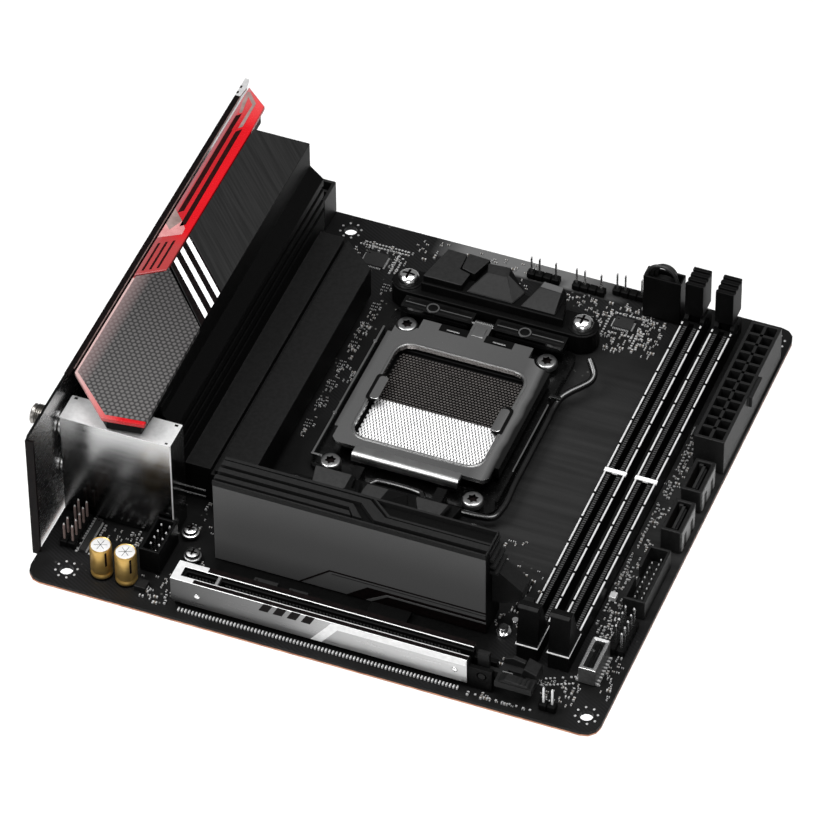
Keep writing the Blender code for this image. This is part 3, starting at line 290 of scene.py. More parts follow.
def board_finish():
    """Black solder mask with faint traces and vias; the cut edge is tan.

    It has a painted grey sheen by the far edge, a painted sheen beside the memory slots and a
    painted shadow behind the card slot.
    """
    material, tree, shader = blank("board_mask")
    wave = tree.nodes.new("ShaderNodeTexWave")
    wave.inputs["Scale"].default_value = 330
    wave.inputs["Distortion"].default_value = 1.4
    wave.inputs["Detail"].default_value = 0.0
    tree.links.new(coordinates(tree, turn=math.radians(62)), wave.inputs["Vector"])
    lines = spread(tree, wave.outputs["Fac"], (0.45, 0.75), (0, 1))
    where = spread(tree, cloud(tree, 38), (0.5, 0.58), (0, 1))
    traces = combine(tree, "MULTIPLY", lines, where)
    dots = tree.nodes.new("ShaderNodeTexVoronoi")
    dots.inputs["Scale"].default_value = 420
    tree.links.new(coordinates(tree), dots.inputs["Vector"])
    vias = spread(tree, dots.outputs["Distance"], (0.09, 0.16), (1, 0))
    some = spread(tree, cloud(tree, 55, detail=1.0), (0.52, 0.57), (0, 1))
    vias = combine(tree, "MULTIPLY", vias, some)
    mask = tint(tree, cloud(tree, 90), ((0.3, (0.003, 0.003, 0.003)), (0.7, (0.006, 0.006, 0.006))))
    mask = blend(tree, traces, mask, (0.009, 0.009, 0.0095))
    mask = blend(tree, vias, mask, (0.12, 0.12, 0.115))
    facing = tree.nodes.new("ShaderNodeNewGeometry")
    parts = tree.nodes.new("ShaderNodeSeparateXYZ")
    tree.links.new(facing.outputs["Normal"], parts.inputs["Vector"])
    edge = spread(tree, combine(tree, "ABSOLUTE", parts.outputs["Z"], 0.0), (0.3, 0.6), (1, 0))
    middle = CORNER + Vector((85, 85, 0)) * MM
    x, y, z = axes(tree)
    across = combine(tree, "ABSOLUTE", combine(tree, "SUBTRACT", x, middle.x), 0.0)
    along = combine(tree, "ABSOLUTE", combine(tree, "SUBTRACT", y, middle.y), 0.0)
    rim = combine(tree, "GREATER_THAN", combine(tree, "MAXIMUM", across, along), 83.2 * MM)
    lower = combine(tree, "LESS_THAN", z, CORNER.z - 1.0 * MM)
    edge = combine(tree, "MULTIPLY", edge, combine(tree, "MULTIPLY", rim, lower))
    # Painted grey sheen by the far edge.
    mask = blend(tree, painted_light_patch(tree, PAINTED_FAR_SHEEN), mask, (0.11, 0.11, 0.11))
    # Painted sheen beside the memory slots, with faint streaks.
    sheen_streak_tints = ((0.35, (0.011, 0.011, 0.011)), (0.65, (0.018, 0.018, 0.018)))
    streaks = tint(tree, cloud(tree, 60, (0.3, 6, 1)), sheen_streak_tints)
    mask = blend(tree, painted_light_patch(tree, PAINTED_SLOT_SHEEN), mask, streaks)
    # Painted shadow behind the card slot.
    mask = blend(tree, painted_light_patch(tree, PAINTED_SHADOW_STRIP), mask, (0.0004, 0.0004, 0.0004))
    fibre = tint(tree, cloud(tree, 500, (1, 1, 6)), ((0.35, (0.32, 0.13, 0.075)), (0.65, (0.6, 0.3, 0.18))))
    tree.links.new(blend(tree, edge, mask, fibre), shader.inputs["Base Color"])
    tree.links.new(spread(tree, cloud(tree, 1500), (0.3, 0.7), (0.4, 0.54)), shader.inputs["Roughness"])
    shader.inputs["Specular IOR Level"].default_value = 0.11
    relief(tree, shader, traces, 0.06, 0.03)
    return material


def honeycomb_finish():
    """Grey clear panel over staggered round cells, with a painted highlight that makes it lighter in front
    and darker behind, and rosy along its left edge.
    """
    material, tree, shader = blank("honeycomb_grey")
    parts = tree.nodes.new("ShaderNodeSeparateXYZ")
    tree.links.new(coordinates(tree, turn=math.radians(8)), parts.inputs["Vector"])
    pitch = 1.55 * MM
    stagger = math.sqrt(3)
    reaches = []
    for shift in (0.0, 0.5):
        across = combine(tree, "ADD", combine(tree, "DIVIDE", parts.outputs["X"], pitch), shift)
        along = combine(tree, "ADD", combine(tree, "DIVIDE", parts.outputs["Y"], pitch * stagger), shift)
        across = combine(tree, "SUBTRACT", combine(tree, "FRACT", across, 0.0), 0.5)
        along = combine(tree, "SUBTRACT", combine(tree, "FRACT", along, 0.0), 0.5)
        along = combine(tree, "MULTIPLY", along, stagger)
        squares = [combine(tree, "MULTIPLY", offset, offset) for offset in (across, along)]
        reaches.append(combine(tree, "ADD", *squares))
    gaps = spread(tree, combine(tree, "MINIMUM", *reaches), (0.07, 0.17), (0, 1))
    x, y, _ = axes(tree)
    left = CORNER.x + 0.5 * MM
    # Painted highlight: cells and gaps are lighter in front and darker towards the back.
    back = spread(tree, y, (CORNER.y + 28 * MM, CORNER.y + 86 * MM), (0, 0.85))
    cell = blend(tree, back, (0.115, 0.111, 0.11), (0.045, 0.043, 0.043))
    gap = blend(tree, back, (0.028, 0.027, 0.027), (0.01, 0.0095, 0.0095))
    colour = blend(tree, gaps, cell, gap)
    rosy = spread(tree, x, (left + 0.8 * MM, left + 5.5 * MM), (0.6, 0))
    colour = blend(tree, rosy, colour, (0.21, 0.145, 0.145))
    tree.links.new(colour, shader.inputs["Base Color"])
    tree.links.new(spread(tree, gaps, (0, 1), (0.36, 0.5)), shader.inputs["Roughness"])
    shader.inputs["Specular IOR Level"].default_value = 0.25
    relief(tree, shader, gaps, 0.3, 0.08)
    return material


def red_finish():
    """Clear red plastic: mauve along its outer edge, dusky at its lower end, rosy round the nose."""
    material, tree, shader = blank("red_clear")
    x, y, _ = axes(tree)
    left, front = CORNER.x, CORNER.y
    mist = cloud(tree, 120, (1, 0.3, 1))
    deep = tint(tree, mist, ((0.3, (0.36, 0.002, 0.005)), (0.7, (0.48, 0.004, 0.009))))
    inner = spread(tree, x, (left + 3.4 * MM, left + 6.2 * MM), (0.6, 0))
    colour = blend(tree, inner, deep, (0.26, 0.014, 0.018))
    outer = spread(tree, x, (left + 1.2 * MM, left + 2.2 * MM), (0.9, 0))
    colour = blend(tree, outer, colour, (0.24, 0.09, 0.1))
    top = spread(tree, y, (front + 150 * MM, front + 166 * MM), (0, 0.3))
    colour = blend(tree, top, colour, (0.7, 0.22, 0.22))
    low = spread(tree, y, (front + 96 * MM, front + 103 * MM), (0.7, 0))
    colour = blend(tree, low, colour, (0.24, 0.045, 0.045))
    nose_tint = spread(tree, x, (left + 1 * MM, left + 20 * MM), (1, 0))
    round_nose = blend(tree, nose_tint, (0.42, 0.006, 0.01), (0.42, 0.29, 0.28))
    at_nose = combine(tree, "LESS_THAN", y, front + 80 * MM)
    tree.links.new(blend(tree, at_nose, colour, round_nose), shader.inputs["Base Color"])
    tree.links.new(spread(tree, cloud(tree, 2500), (0.3, 0.7), (0.2, 0.3)), shader.inputs["Roughness"])
    shader.inputs["Specular IOR Level"].default_value = 0.3
    relief(tree, shader, mist, 0.08, 0.05)
    return material


def metal_with_painted_shading(name, node, axis, painted_shades, streaks, rough, bump=0.04):
    """Brushed metal with painted light and shade: its grey changes through stops along one axis of a node.
    """
    material, tree, shader = blank(name)
    run = span(node)[axis]
    ends = [CORNER[axis] + end * MM for end in run]
    along = spread(tree, axes(tree)[axis], ends, (0, 1))
    brushed = cloud(tree, 260, streaks)
    along = combine(tree, "ADD", along, combine(tree, "MULTIPLY", brushed, 0.06))
    stops = [(place, (shade, shade, shade)) for place, shade in painted_shades]
    tree.links.new(tint(tree, along, stops), shader.inputs["Base Color"])
    tree.links.new(spread(tree, brushed, (0.3, 0.7), rough), shader.inputs["Roughness"])
    shader.inputs["Metallic"].default_value = 1.0
    relief(tree, shader, brushed, bump, 0.03)
    return material


def sleeve_finish():
    """Gold capacitor sleeve, brushed round."""
    material, tree, shader = blank("gold_sleeve")
    rings = cloud(tree, 300, (0.3, 0.3, 2))
    gold = tint(tree, rings, ((0.3, (0.5, 0.3, 0.075)), (0.7, (0.62, 0.42, 0.14))))
    tree.links.new(gold, shader.inputs["Base Color"])
    tree.links.new(spread(tree, rings, (0.3, 0.7), (0.3, 0.38)), shader.inputs["Roughness"])
    shader.inputs["Metallic"].default_value = 0.8
    relief(tree, shader, rings, 0.03, 0.02)
    return material


def make_finishes():
    """Every look by its name. The metals' painted light and shade are stops along a node."""
    slant = math.radians(-47)
    # Painted light: the armour's front goes from dark at its left end to bright at its right.
    armour_painted_shades = ((0.0, 0.07), (0.4, 0.18), (0.56, 0.38), (1.0, 0.52))
    # Painted reflection: the can's sides are dark low down and bright near the top.
    can_painted_reflection = ((0.0, 0.07), (0.4, 0.17), (0.8, 0.3), (1.0, 0.5))
    # Painted light on the load plate: dark at its left fold, even across the middle, then a painted
    # highlight and a painted shaded roll at its right edge.
    plate_painted_shades = ((0.0, 0.2), (0.06, 0.46), (0.4, 0.46), (0.88, 0.4))
    plate_painted_shades += ((0.96, 0.62), (0.985, 0.34), (1.0, 0.06))
    return {
        "board": board_finish(),
        "honeycomb": honeycomb_finish(),
        "red": red_finish(),
        "sleeve": sleeve_finish(),
        "armour": metal_with_painted_shading("armour_steel_painted_shading", "pcie_armour", 0, armour_painted_shades, (0.3, 1, 8), (0.26, 0.36)),
        "can": metal_with_painted_shading("can_tin_painted_reflection", "wifi_shield", 2, can_painted_reflection, (0.3, 0.3, 6), (0.16, 0.24)),
        "plastic": finish("moulded_black", *grey(0.001, 0.002), (0.42, 0.52), grain=1200, gloss=0.08),
        "satin": finish("satin_black", *grey(0.003, 0.006), (0.48, 0.56), grain=900, gloss=0.18),
        "plug": finish("plug_black", *grey(0.004, 0.006), (0.44, 0.54), grain=1100, gloss=0.24),
        "anodised": finish("anodised_black", *grey(0.001, 0.002), (0.45, 0.55), grain=2500, gloss=0.08),
        "brushed": finish(
            "brushed_black", *grey(0.006, 0.013), (0.42, 0.5), 0, 130, (0.3, 16, 1), slant, 0.15, 0.2
        ),
        "ridge": finish("milled_black", *grey(0.006, 0.009), (0.45, 0.55), grain=1400, gloss=0.2),
        "blasted": finish("blasted_grey", *grey(0.06, 0.072), (0.5, 0.62), grain=3200, bump=0.2, gloss=0.4),
        "tin": finish("bright_tin", *grey(0.5, 0.6), (0.14, 0.22), 1.0, 300, (1, 1, 6), bump=0.04),
        "inside": finish("plate_inside", *grey(0.46, 0.52), (0.25, 0.28), 1.0, 120, (1, 1, 3), bump=0.0),
        "nickel": metal_with_painted_shading(
            "nickel_painted_shading", "load_plate", 0, plate_painted_shades, (0.2, 0.2, 1), (0.23, 0.25), 0.0
        ),
        "black_nickel": finish("black_nickel", *grey(0.03, 0.045), (0.2, 0.28), 1.0, 300, bump=0.02),
        "lever": finish("lever_steel", *grey(0.06, 0.075), (0.24, 0.26), 1.0, 120, bump=0.0),
        "screw": finish("screw_steel", *grey(0.34, 0.4), (0.28, 0.32), 1.0, 200, bump=0.01),
        "side_plate": finish("side_plate", *grey(0.17, 0.22), (0.4, 0.5), 0.3, 500),
        "bracket": finish("bracket_painted_light", *grey(0.02, 0.026), (0.5, 0.58), grain=900, gloss=0.2),
        "wing": finish("wing_grey", *grey(0.008, 0.012), (0.5, 0.58), grain=900, gloss=0.2),
        "copper_pin": finish("copper_pin", (0.3, 0.22, 0.2), (0.4, 0.3, 0.28), (0.26, 0.36), 0.5, 900),
        "steel": finish("plain_steel", *grey(0.6, 0.68), (0.22, 0.32), 1.0, 500, bump=0.06),
        "bright": finish("polished_steel", *grey(0.86, 0.92), (0.16, 0.24), 1.0, 800, bump=0.05),
        "white": finish("white_print", *grey(0.72, 0.8), (0.5, 0.6), grain=600),
        "pale_steel": finish("pale_steel", *grey(0.7, 0.78), (0.34, 0.44), 0.5, 700, bump=0.05),
        "solder": finish("solder", *grey(0.44, 0.6), (0.28, 0.4), 0.5, 2200, bump=0.2),
        "gold": finish("contact_gold", (0.6, 0.42, 0.17), (0.74, 0.54, 0.26), (0.24, 0.34), 1.0, 1500),
        "jack": finish("jack_plating", (0.22, 0.21, 0.195), (0.3, 0.285, 0.265), (0.24, 0.34), 1.0, 900),
        "chip": finish("chip_black", *grey(0.008, 0.012), (0.4, 0.5), grain=1800, gloss=0.35),
        "ceramic": finish("ceramic_tan", (0.05, 0.042, 0.034), (0.12, 0.1, 0.08), (0.4, 0.5), grain=900),
        "pad": finish("thermal_pad", (0.3, 0.32, 0.38), (0.36, 0.38, 0.44), (0.8, 0.9), grain=500),
        "dark_line": finish(
            "dark_line", (0.002, 0.0015, 0.0015), (0.005, 0.003, 0.003), (0.4, 0.5), grain=900, gloss=0.06
        ),
        "dark_red": finish(
            "dark_red", (0.008, 0.001, 0.001), (0.018, 0.002, 0.002), (0.4, 0.5), grain=600, gloss=0.1
        ),
        "rose": finish(
            "rose_clear", (0.42, 0.17, 0.17), (0.6, 0.32, 0.31), (0.25, 0.35), grain=160, gloss=0.3
        ),
        "taupe": finish(
            "taupe_line", (0.16, 0.11, 0.1), (0.24, 0.17, 0.16), (0.3, 0.4), grain=300, gloss=0.3
        ),
        "pin_bright": finish("contact_bright", *grey(0.44, 0.52), (0.3, 0.4), 0.3, 900),
        "pin_painted_shade": finish("contact_painted_shade", (0.2, 0.185, 0.18), (0.3, 0.28, 0.27), (0.3, 0.42), 0.7, 900),
        "comb": finish("contact_comb", *grey(0.05, 0.08), (0.35, 0.45), 0.4, 900),
        "tongue": finish("port_tongue", (0.01, 0.02, 0.05), (0.02, 0.04, 0.08), (0.4, 0.5), grain=900),
        "rubber": finish("lead_sheath", *grey(0.006, 0.01), (0.4, 0.5), grain=900, gloss=0.4),
    }


LOOKS = make_finishes()


# Making pieces


def brick(bm, x, y, z, look=0, turn=None):
    """A block between three runs, turned about its middle if asked."""
    runs = (x, y, z)
    middle = Vector([(low + high) / 2 for low, high in runs])
    size = Vector([high - low for low, high in runs])
    made = bmesh.ops.create_cube(bm, size=1, matrix=Matrix.LocRotScale(middle, turn, size))
    for face in {face for corner in made["verts"] for face in corner.link_faces}:
        face.material_index = look
    return made["verts"]


def prism(bm, outline, run, look=0, axis="Z"):
    """An outline across an axis, raised along the axis from one end of a run to the other."""
    step = run[1] - run[0]
    place, lift = {
        "X": (lambda a, b: (run[0], a, b), (step, 0, 0)),
        "Y": (lambda a, b: (a, run[0], b), (0, step, 0)),
        "Z": (lambda a, b: (a, b, run[0]), (0, 0, step)),
    }[axis]
    base = bm.faces.new([bm.verts.new(place(*point)) for point in outline])
    raised = bmesh.ops.extrude_face_region(bm, geom=[base])["geom"]
    lifted = [part for part in raised if isinstance(part, bmesh.types.BMVert)]
    bmesh.ops.translate(bm, vec=lift, verts=lifted)
    base.material_index = look
    for face in {face for corner in lifted for face in corner.link_faces}:
        face.material_index = look
    return lifted


def tapered(bm, low, high, z, look=0):
    """A block from one outline up to another with as many corners."""
    for corner in prism(bm, low, z, look):
        spot = min(range(len(low)), key=lambda at: (Vector(low[at]) - corner.co.xy).length)
        corner.co.xy = high[spot]


def plus(middle, reach, half):
    """A cross outline."""
    x, y = middle
    quarter = [(half, half), (half, reach), (-half, reach), (-half, half)]
    quarter += [(-reach, half), (-reach, -half), (-half, -half), (-half, -reach)]
    quarter += [(half, -reach), (half, -half), (reach, -half), (reach, half)]
    return [(x + a, y + b) for a, b in quarter]


def star(middle, outer, inner, points=6):
    """A lobed driver outline."""
    turns = [math.tau * step / (2 * points) for step in range(2 * points)]
    reaches = [outer if step % 2 else inner for step in range(2 * points)]
    return [(middle[0] + r * math.cos(t), middle[1] + r * math.sin(t)) for t, r in zip(turns, reaches)]


def obround(first, second, radius, steps=10):
    """A bar outline along X with round ends."""
    ends = []
    for (x, y), start in ((second, -math.pi / 2), (first, math.pi / 2)):
        for step in range(steps + 1):
            turn = start + math.pi * step / steps
            ends.append((x + radius * math.cos(turn), y + radius * math.sin(turn)))
    return ends


def rounded(x, y, radius, steps=5):
    """A rectangle outline with round corners."""
    points = []
    for corner, (a, b) in enumerate(((1, 1), (0, 1), (0, 0), (1, 0))):
        middle = (x[a] + radius * (1 - 2 * a), y[b] + radius * (1 - 2 * b))
        for step in range(steps + 1):
            turn = math.pi / 2 * (corner + step / steps)
            points.append((middle[0] + radius * math.cos(turn), middle[1] + radius * math.sin(turn)))
    return points


def border(bm, outer, inner, z, look=0):
    """A band between two outlines, raised from one height to another."""
    loops = []
    for outline in (outer, inner):
        corners = [bm.verts.new((*point, z[0])) for point in outline]
        loops += [bm.edges.new(pair) for pair in zip(corners, corners[1:] + corners[:1])]
    band = bmesh.ops.bridge_loops(bm, edges=loops)["faces"]
    raised = bmesh.ops.extrude_face_region(bm, geom=band)["geom"]
    lifted = [part for part in raised if isinstance(part, bmesh.types.BMVert)]
    bmesh.ops.translate(bm, vec=(0, 0, z[1] - z[0]), verts=lifted)
    for face in bm.faces:
        face.material_index = look


def disc(bm, middle, radius, z, look=0, segments=20, top=None):
    """A round post, narrower at the top if asked."""
    made = bmesh.ops.create_cone(
        bm,
        cap_ends=True,
        segments=segments,
        radius1=radius,
        radius2=radius if top is None else top,
        depth=z[1] - z[0],
        matrix=Matrix.Translation((middle[0], middle[1], (z[0] + z[1]) / 2)),
    )
    for face in {face for corner in made["verts"] for face in corner.link_faces}:
        face.material_index = look


def turned(bm, middle, profile, steps=28, look=0, axis="Z"):
    """A profile of (radius, height) spun round an axis through a point."""
    if axis == "Z":
        corners = [bm.verts.new((middle[0] + r, middle[1], h)) for r, h in profile]
        line = (0, 0, 1)
    else:
        corners = [bm.verts.new((h, middle[1] + r, middle[2])) for r, h in profile]
        line = (1, 0, 0)
    sides = [bm.edges.new(pair) for pair in zip(corners, corners[1:])]
    before = set(bm.faces)
    centre = (middle[0], middle[1], middle[2] if axis == "X" else 0)
    bmesh.ops.spin(
        bm, geom=corners + sides, cent=centre, axis=line, angle=math.tau, steps=steps, use_merge=True
    )
    for face in set(bm.faces) - before:
        face.material_index = look
    bmesh.ops.remove_doubles(bm, verts=bm.verts, dist=0.0005)


def ease(bm, width, segments=2, angle=0.6):
    """Rounds every edge sharper than the angle."""
    sharp = [
        edge for edge in bm.edges if len(edge.link_faces) == 2 and edge.calc_face_angle(0) > angle
    ]
    bmesh.ops.bevel(
        bm,
        geom=sharp,
        offset=width,
        offset_type="OFFSET",
        segments=segments,
        profile=0.5,
        affect="EDGES",
        material=-1,
        clamp_overlap=True,
    )


def keep(bm, name, looks, body="board", stands_for=(), smooth=False):
    """A finished piece that rides on a body."""
    piece = loose(bm, name, looks)
    if smooth:
        for face in piece.data.polygons:
            face.use_smooth = True
        piece.data.set_sharp_from_angle(angle=math.radians(38))
    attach(piece, body)
    if stands_for:
        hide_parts(*stands_for)
    return piece


def copy_of(node):
    """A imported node's shape in board millimetres, merged and with its flat faces whole."""
    bm = bmesh.new()
    bm.from_mesh(frame["nodes"][node].data)
    bmesh.ops.translate(bm, vec=-CORNER, verts=bm.verts)
    bmesh.ops.scale(bm, vec=(1 / MM, 1 / MM, 1 / MM), verts=bm.verts)
    bmesh.ops.remove_doubles(bm, verts=bm.verts, dist=0.001)
    bmesh.ops.dissolve_limit(bm, angle_limit=0.005, verts=bm.verts, edges=bm.edges)
    for face in bm.faces:
        face.material_index = 0
        face.smooth = False
    return bm


def soften(node, width, looks, body="board", pick=None, segments=2):
    """The node's own shape with eased edges, in its place. pick gives a face its look."""
    bm = copy_of(node)
    ease(bm, width, segments)
    if pick:
        for face in bm.faces:
            face.material_index = pick(face.calc_center_median(), face.normal)
    return keep(bm, node + "_eased", looks, body, (node,))


def carve(piece, cutter):
    """Cuts one piece with another and drops the cutter."""
    modifier = piece.modifiers.new("cut", "BOOLEAN")
    modifier.object = cutter
    modifier.solver = "EXACT"
    modifier.material_mode = "TRANSFER"
    bpy.context.view_layer.update()
    done = bpy.data.meshes.new_from_object(piece.evaluated_get(bpy.context.evaluated_depsgraph_get()))
    piece.modifiers.clear()
    piece.data = done
    bpy.data.objects.remove(cutter, do_unlink=True)


def loose(bm, name, looks):
    """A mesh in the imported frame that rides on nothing: a cutter, or a piece to be kept."""
    bmesh.ops.recalc_face_normals(bm, faces=bm.faces)
    bmesh.ops.scale(bm, vec=(MM, MM, MM), verts=bm.verts)
    bmesh.ops.translate(bm, vec=CORNER, verts=bm.verts)
    mesh = bpy.data.meshes.new(name)
    bm.to_mesh(mesh)
    bm.free()
    for look in looks:
        mesh.materials.append(LOOKS[look])
    piece = bpy.data.objects.new(name, mesh)
    bpy.context.scene.collection.objects.link(piece)
    return piece


def screw(node, at, profile, recess, depth, look):
    """A turned head with a recess, in a packed screw's place; the recess walls take a black finish as
    painted shade.
    """
    bm = bmesh.new()
    turned(bm, at, profile)
    head = keep(bm, node + "_head", [look], stands_for=(node,), smooth=True)
    bm = bmesh.new()
    prism(bm, recess, depth)
    # The cut leaves the cutter's black finish on the recess walls: painted shade.
    carve(head, loose(bm, "recess", ["dark_line"]))


def top_or_side(_, normal):
    """The second look on top and the first elsewhere."""
    return 1 if normal.z > 0.9 else 0


def repaint(node, look):
    """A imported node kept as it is, with a finish on its slots."""
    for slot in frame["nodes"][node].material_slots:
        slot.material = LOOKS[look]


# Board


def hole_rings():
    """Eight solder dots round each mounting hole, where the board has room."""
    reach = 3.1
    low, high = 0.8, 169.2
    bm = bmesh.new()
    for x, y in ((10.16, 6.35), (165.1, 6.35), (33.02, 163.83), (165.1, 163.83)):
        for step in range(8):
            turn = math.tau * (step + 0.5) / 8
            at = (x + reach * math.cos(turn), y + reach * math.sin(turn))
            if low < min(at) and max(at) < high:
                disc(bm, at, 0.4, (-0.02, 0.14), 0, 10, 0.26)
    keep(bm, "mounting_hole_dots", ["solder"])


def small_part(bm, x, y, along, size, kind):
    """A chip part: a body between two bright ends."""
    length, width, height = size
    half = length / 2
    inner = half - 0.28 * length
    body = 1 if kind < 0.6 else 2
    for run, share, look in (((-half, -inner), 1, 0), ((inner, half), 1, 0), ((-inner, inner), 0.94, body)):
        across = (-width / 2 * share, width / 2 * share)
        x_run, y_run = (run, across) if along else (across, run)
        x_run = (x + x_run[0], x + x_run[1])
        y_run = (y + y_run[0], y + y_run[1])
        brick(bm, x_run, y_run, (-0.02, height * share), look)


PART_FIELDS = (
    ((50.6, 53.6), (78, 133), 34),
    ((54.6, 57.0), (104, 110), 12),
    ((38.0, 53.0), (158.2, 161.5), 26),
    ((49.4, 53.4), (150, 158), 14),
    ((36.5, 40.0), (150, 158), 8),
    ((54.0, 62.5), (158, 168.5), 16),
    ((66.0, 90.0), (164.5, 168.8), 16),
    ((84.5, 92.0), (158.6, 162.0), 12),
    ((99.0, 110.0), (157.0, 162.4), 26),
    ((108.0, 118.0), (146.0, 162.0), 64),
    ((118.0, 126.0), (143.0, 151.6), 40),
    ((118.0, 131.0), (158.0, 162.5), 34),
    ((126.0, 134.6), (144.0, 158.8), 66),
    ((155.6, 159.4), (92.0, 118.0), 40),
    ((155.6, 160.4), (70.0, 91.0), 30),
    ((155.8, 160.6), (38.0, 68.0), 56),
    ((157.0, 163.0), (31.0, 43.0), 26),
    ((119.5, 128.0), (48.0, 62.0), 22),
    ((129.5, 137.6), (27.0, 53.0), 34),
    ((132.0, 152.0), (1.6, 3.0), 12),
    ((132.0, 145.0), (13.6, 18.0), 20),
    ((147.0, 160.0), (6.8, 16.4), 42),
    ((164.4, 168.8), (12.0, 30.0), 26),
    ((13.6, 27.5), (13.4, 26.6), 46),
    ((29.0, 41.5), (3.0, 13.0), 30),
    ((36.5, 46.6), (14.0, 23.6), 20),
    ((36.5, 47.0), (32.6, 44.0), 20),
    ((52.0, 118.0), (37.0, 46.0), 46),
)
KEEP_CLEAR = (
    ((40.2, 48.9), (150.4, 158.0)),
    ((118.2, 125.6), (151.8, 157.6)),
    ((94.4, 107.6), (11.6, 24.8)),
    ((59.6, 78.4), (14.4, 22.6)),
    ((9.4, 13.2), (13.0, 28.0)),
    ((35.0, 44.4), (19.6, 33.6)),
    ((16.4, 31.2), (4.9, 12.6)),
)


def phase_parts(bm):
    """One like group of chip parts for each power phase, in a row beside the heatsink's foot."""
    for phase in range(8):
        y = 83.0 + phase * 8.6
        for row in range(3):
            small_part(bm, 51.0, y + row * 1.25, True, (0.66, 0.32, 0.3), 0.9)
            small_part(bm, 52.2, y + row * 1.25, True, (0.66, 0.32, 0.3), 0.9)
        small_part(bm, 53.5, y + 0.9, False, (1.0, 0.55, 0.45), 0.9)
        small_part(bm, 51.4, y - 1.6, False, (0.8, 0.4, 0.4), 0.3)
        small_part(bm, 52.8, y + 4.2, True, (0.66, 0.32, 0.3), 0.3)


DOT_ROWS = (
    ((38.0, 159.6), (53.0, 159.6), 17),
    ((38.4, 160.9), (52.6, 160.9), 15),
    ((50.4, 150.6), (50.4, 158.0), 9),
    ((52.0, 151.0), (52.0, 157.6), 8),
    ((37.2, 150.0), (37.2, 157.6), 8),
    ((118.6, 158.6), (131.0, 158.6), 13),
    ((119.0, 150.4), (126.0, 150.4), 8),
    ((127.2, 146.0), (127.2, 157.6), 12),
    ((128.8, 146.0), (128.8, 157.6), 11),
    ((117.2, 148.6), (117.2, 157.6), 9),
    ((156.6, 92.0), (156.6, 116.0), 19),
    ((158.0, 92.8), (158.0, 115.0), 15),
    ((156.4, 72.0), (156.4, 89.0), 13),
    ((158.2, 73.0), (158.2, 88.0), 9),
    ((156.2, 45.0), (156.2, 66.0), 17),
    ((158.0, 45.6), (158.0, 65.0), 13),
    ((158.6, 32.6), (158.6, 43.0), 9),
    ((160.2, 31.8), (160.2, 42.6), 10),
    ((13.8, 14.0), (13.8, 26.8), 14),
    ((9.9, 13.8), (9.9, 27.2), 14),
    ((149.0, 14.6), (157.4, 18.6), 9),
    ((150.0, 12.4), (157.6, 16.0), 9),
    ((134.0, 2.6), (150.0, 2.6), 9),
)


def dot_rows(bm):
    """Rows of the smallest parts and test pads."""
    for first, last, count in DOT_ROWS:
        for step in range(count):
            share = step / (count - 1)
            x = first[0] + (last[0] - first[0]) * share
            y = first[1] + (last[1] - first[1]) * share
            if DICE.random() < 0.86:
                brick(bm, (x - 0.3, x + 0.3), (y - 0.24, y + 0.24), (-0.02, 0.3), 0)


def small_parts():
    """Seeded fields of chip parts, squared up to a fine grid."""
    bm = bmesh.new()
    phase_parts(bm)
    dot_rows(bm)
    sizes = ((0.84, 0.42, 0.4), (0.84, 0.42, 0.4), (1.3, 0.65, 0.6), (0.7, 0.36, 0.35))
    grid_x, grid_y = 0.65, 1.05
    room_x, room_y = 1.3, 1.1
    taken = set()
    for x_run, y_run, count in PART_FIELDS:
        for _ in range(count):
            size = DICE.choice(sizes)
            x = round(DICE.uniform(*x_run) / grid_x) * grid_x
            y = round(DICE.uniform(*y_run) / grid_y) * grid_y
            along = DICE.random() < 0.45
            kind = DICE.random()
            cell = (round(x / room_x), round(y / room_y))
            blocked = any(a[0] < x < a[1] and b[0] < y < b[1] for a, b in KEEP_CLEAR)
            if blocked or cell in taken:
                continue
            taken.add(cell)
            small_part(bm, x, y, along, size, kind)
    keep(bm, "chip_parts", ["solder", "ceramic", "chip"])


def flat_chip(bm, x, y, height, sides):
    """A square chip with short bright legs on two or four sides."""
    brick(bm, x, y, (0.05, height), 0)
    disc(bm, (x[0] + 0.9, y[1] - 0.9), 0.28, (height - 0.02, height + 0.015), 2, 12)
    pitch = 0.5
    for row in range(int((y[1] - y[0] - 0.8) / pitch) + 1):
        at = y[0] + 0.4 + row * pitch
        brick(bm, (x[0] - 0.5, x[0] + 0.02), (at - 0.12, at + 0.12), (-0.02, 0.3), 1)
        brick(bm, (x[1] - 0.02, x[1] + 0.5), (at - 0.12, at + 0.12), (-0.02, 0.3), 1)
    if sides == 2:
        return
    for column in range(int((x[1] - x[0] - 0.8) / pitch) + 1):
        at = x[0] + 0.4 + column * pitch
        brick(bm, (at - 0.12, at + 0.12), (y[0] - 0.5, y[0] + 0.02), (-0.02, 0.3), 1)
        brick(bm, (at - 0.12, at + 0.12), (y[1] - 0.02, y[1] + 0.5), (-0.02, 0.3), 1)


def flat_chips():
    """The larger chips that the photo shows, at their places."""
    bm = bmesh.new()
    flat_chip(bm, (41.2, 47.9), (151.4, 157.0), 0.9, 4)
    flat_chip(bm, (119.2, 124.8), (152.6, 156.8), 0.9, 4)
    flat_chip(bm, (61.0, 68.0), (15.4, 21.6), 1.0, 4)
    flat_chip(bm, (71.6, 77.2), (16.0, 21.2), 0.9, 2)
    flat_chip(bm, (10.6, 12.4), (14.0, 27.2), 1.0, 2)
    flat_chip(bm, (155.9, 159.6), (118.6, 122.6), 0.8, 2)
    keep(bm, "flat_chips", ["chip", "solder", "dark_line"])


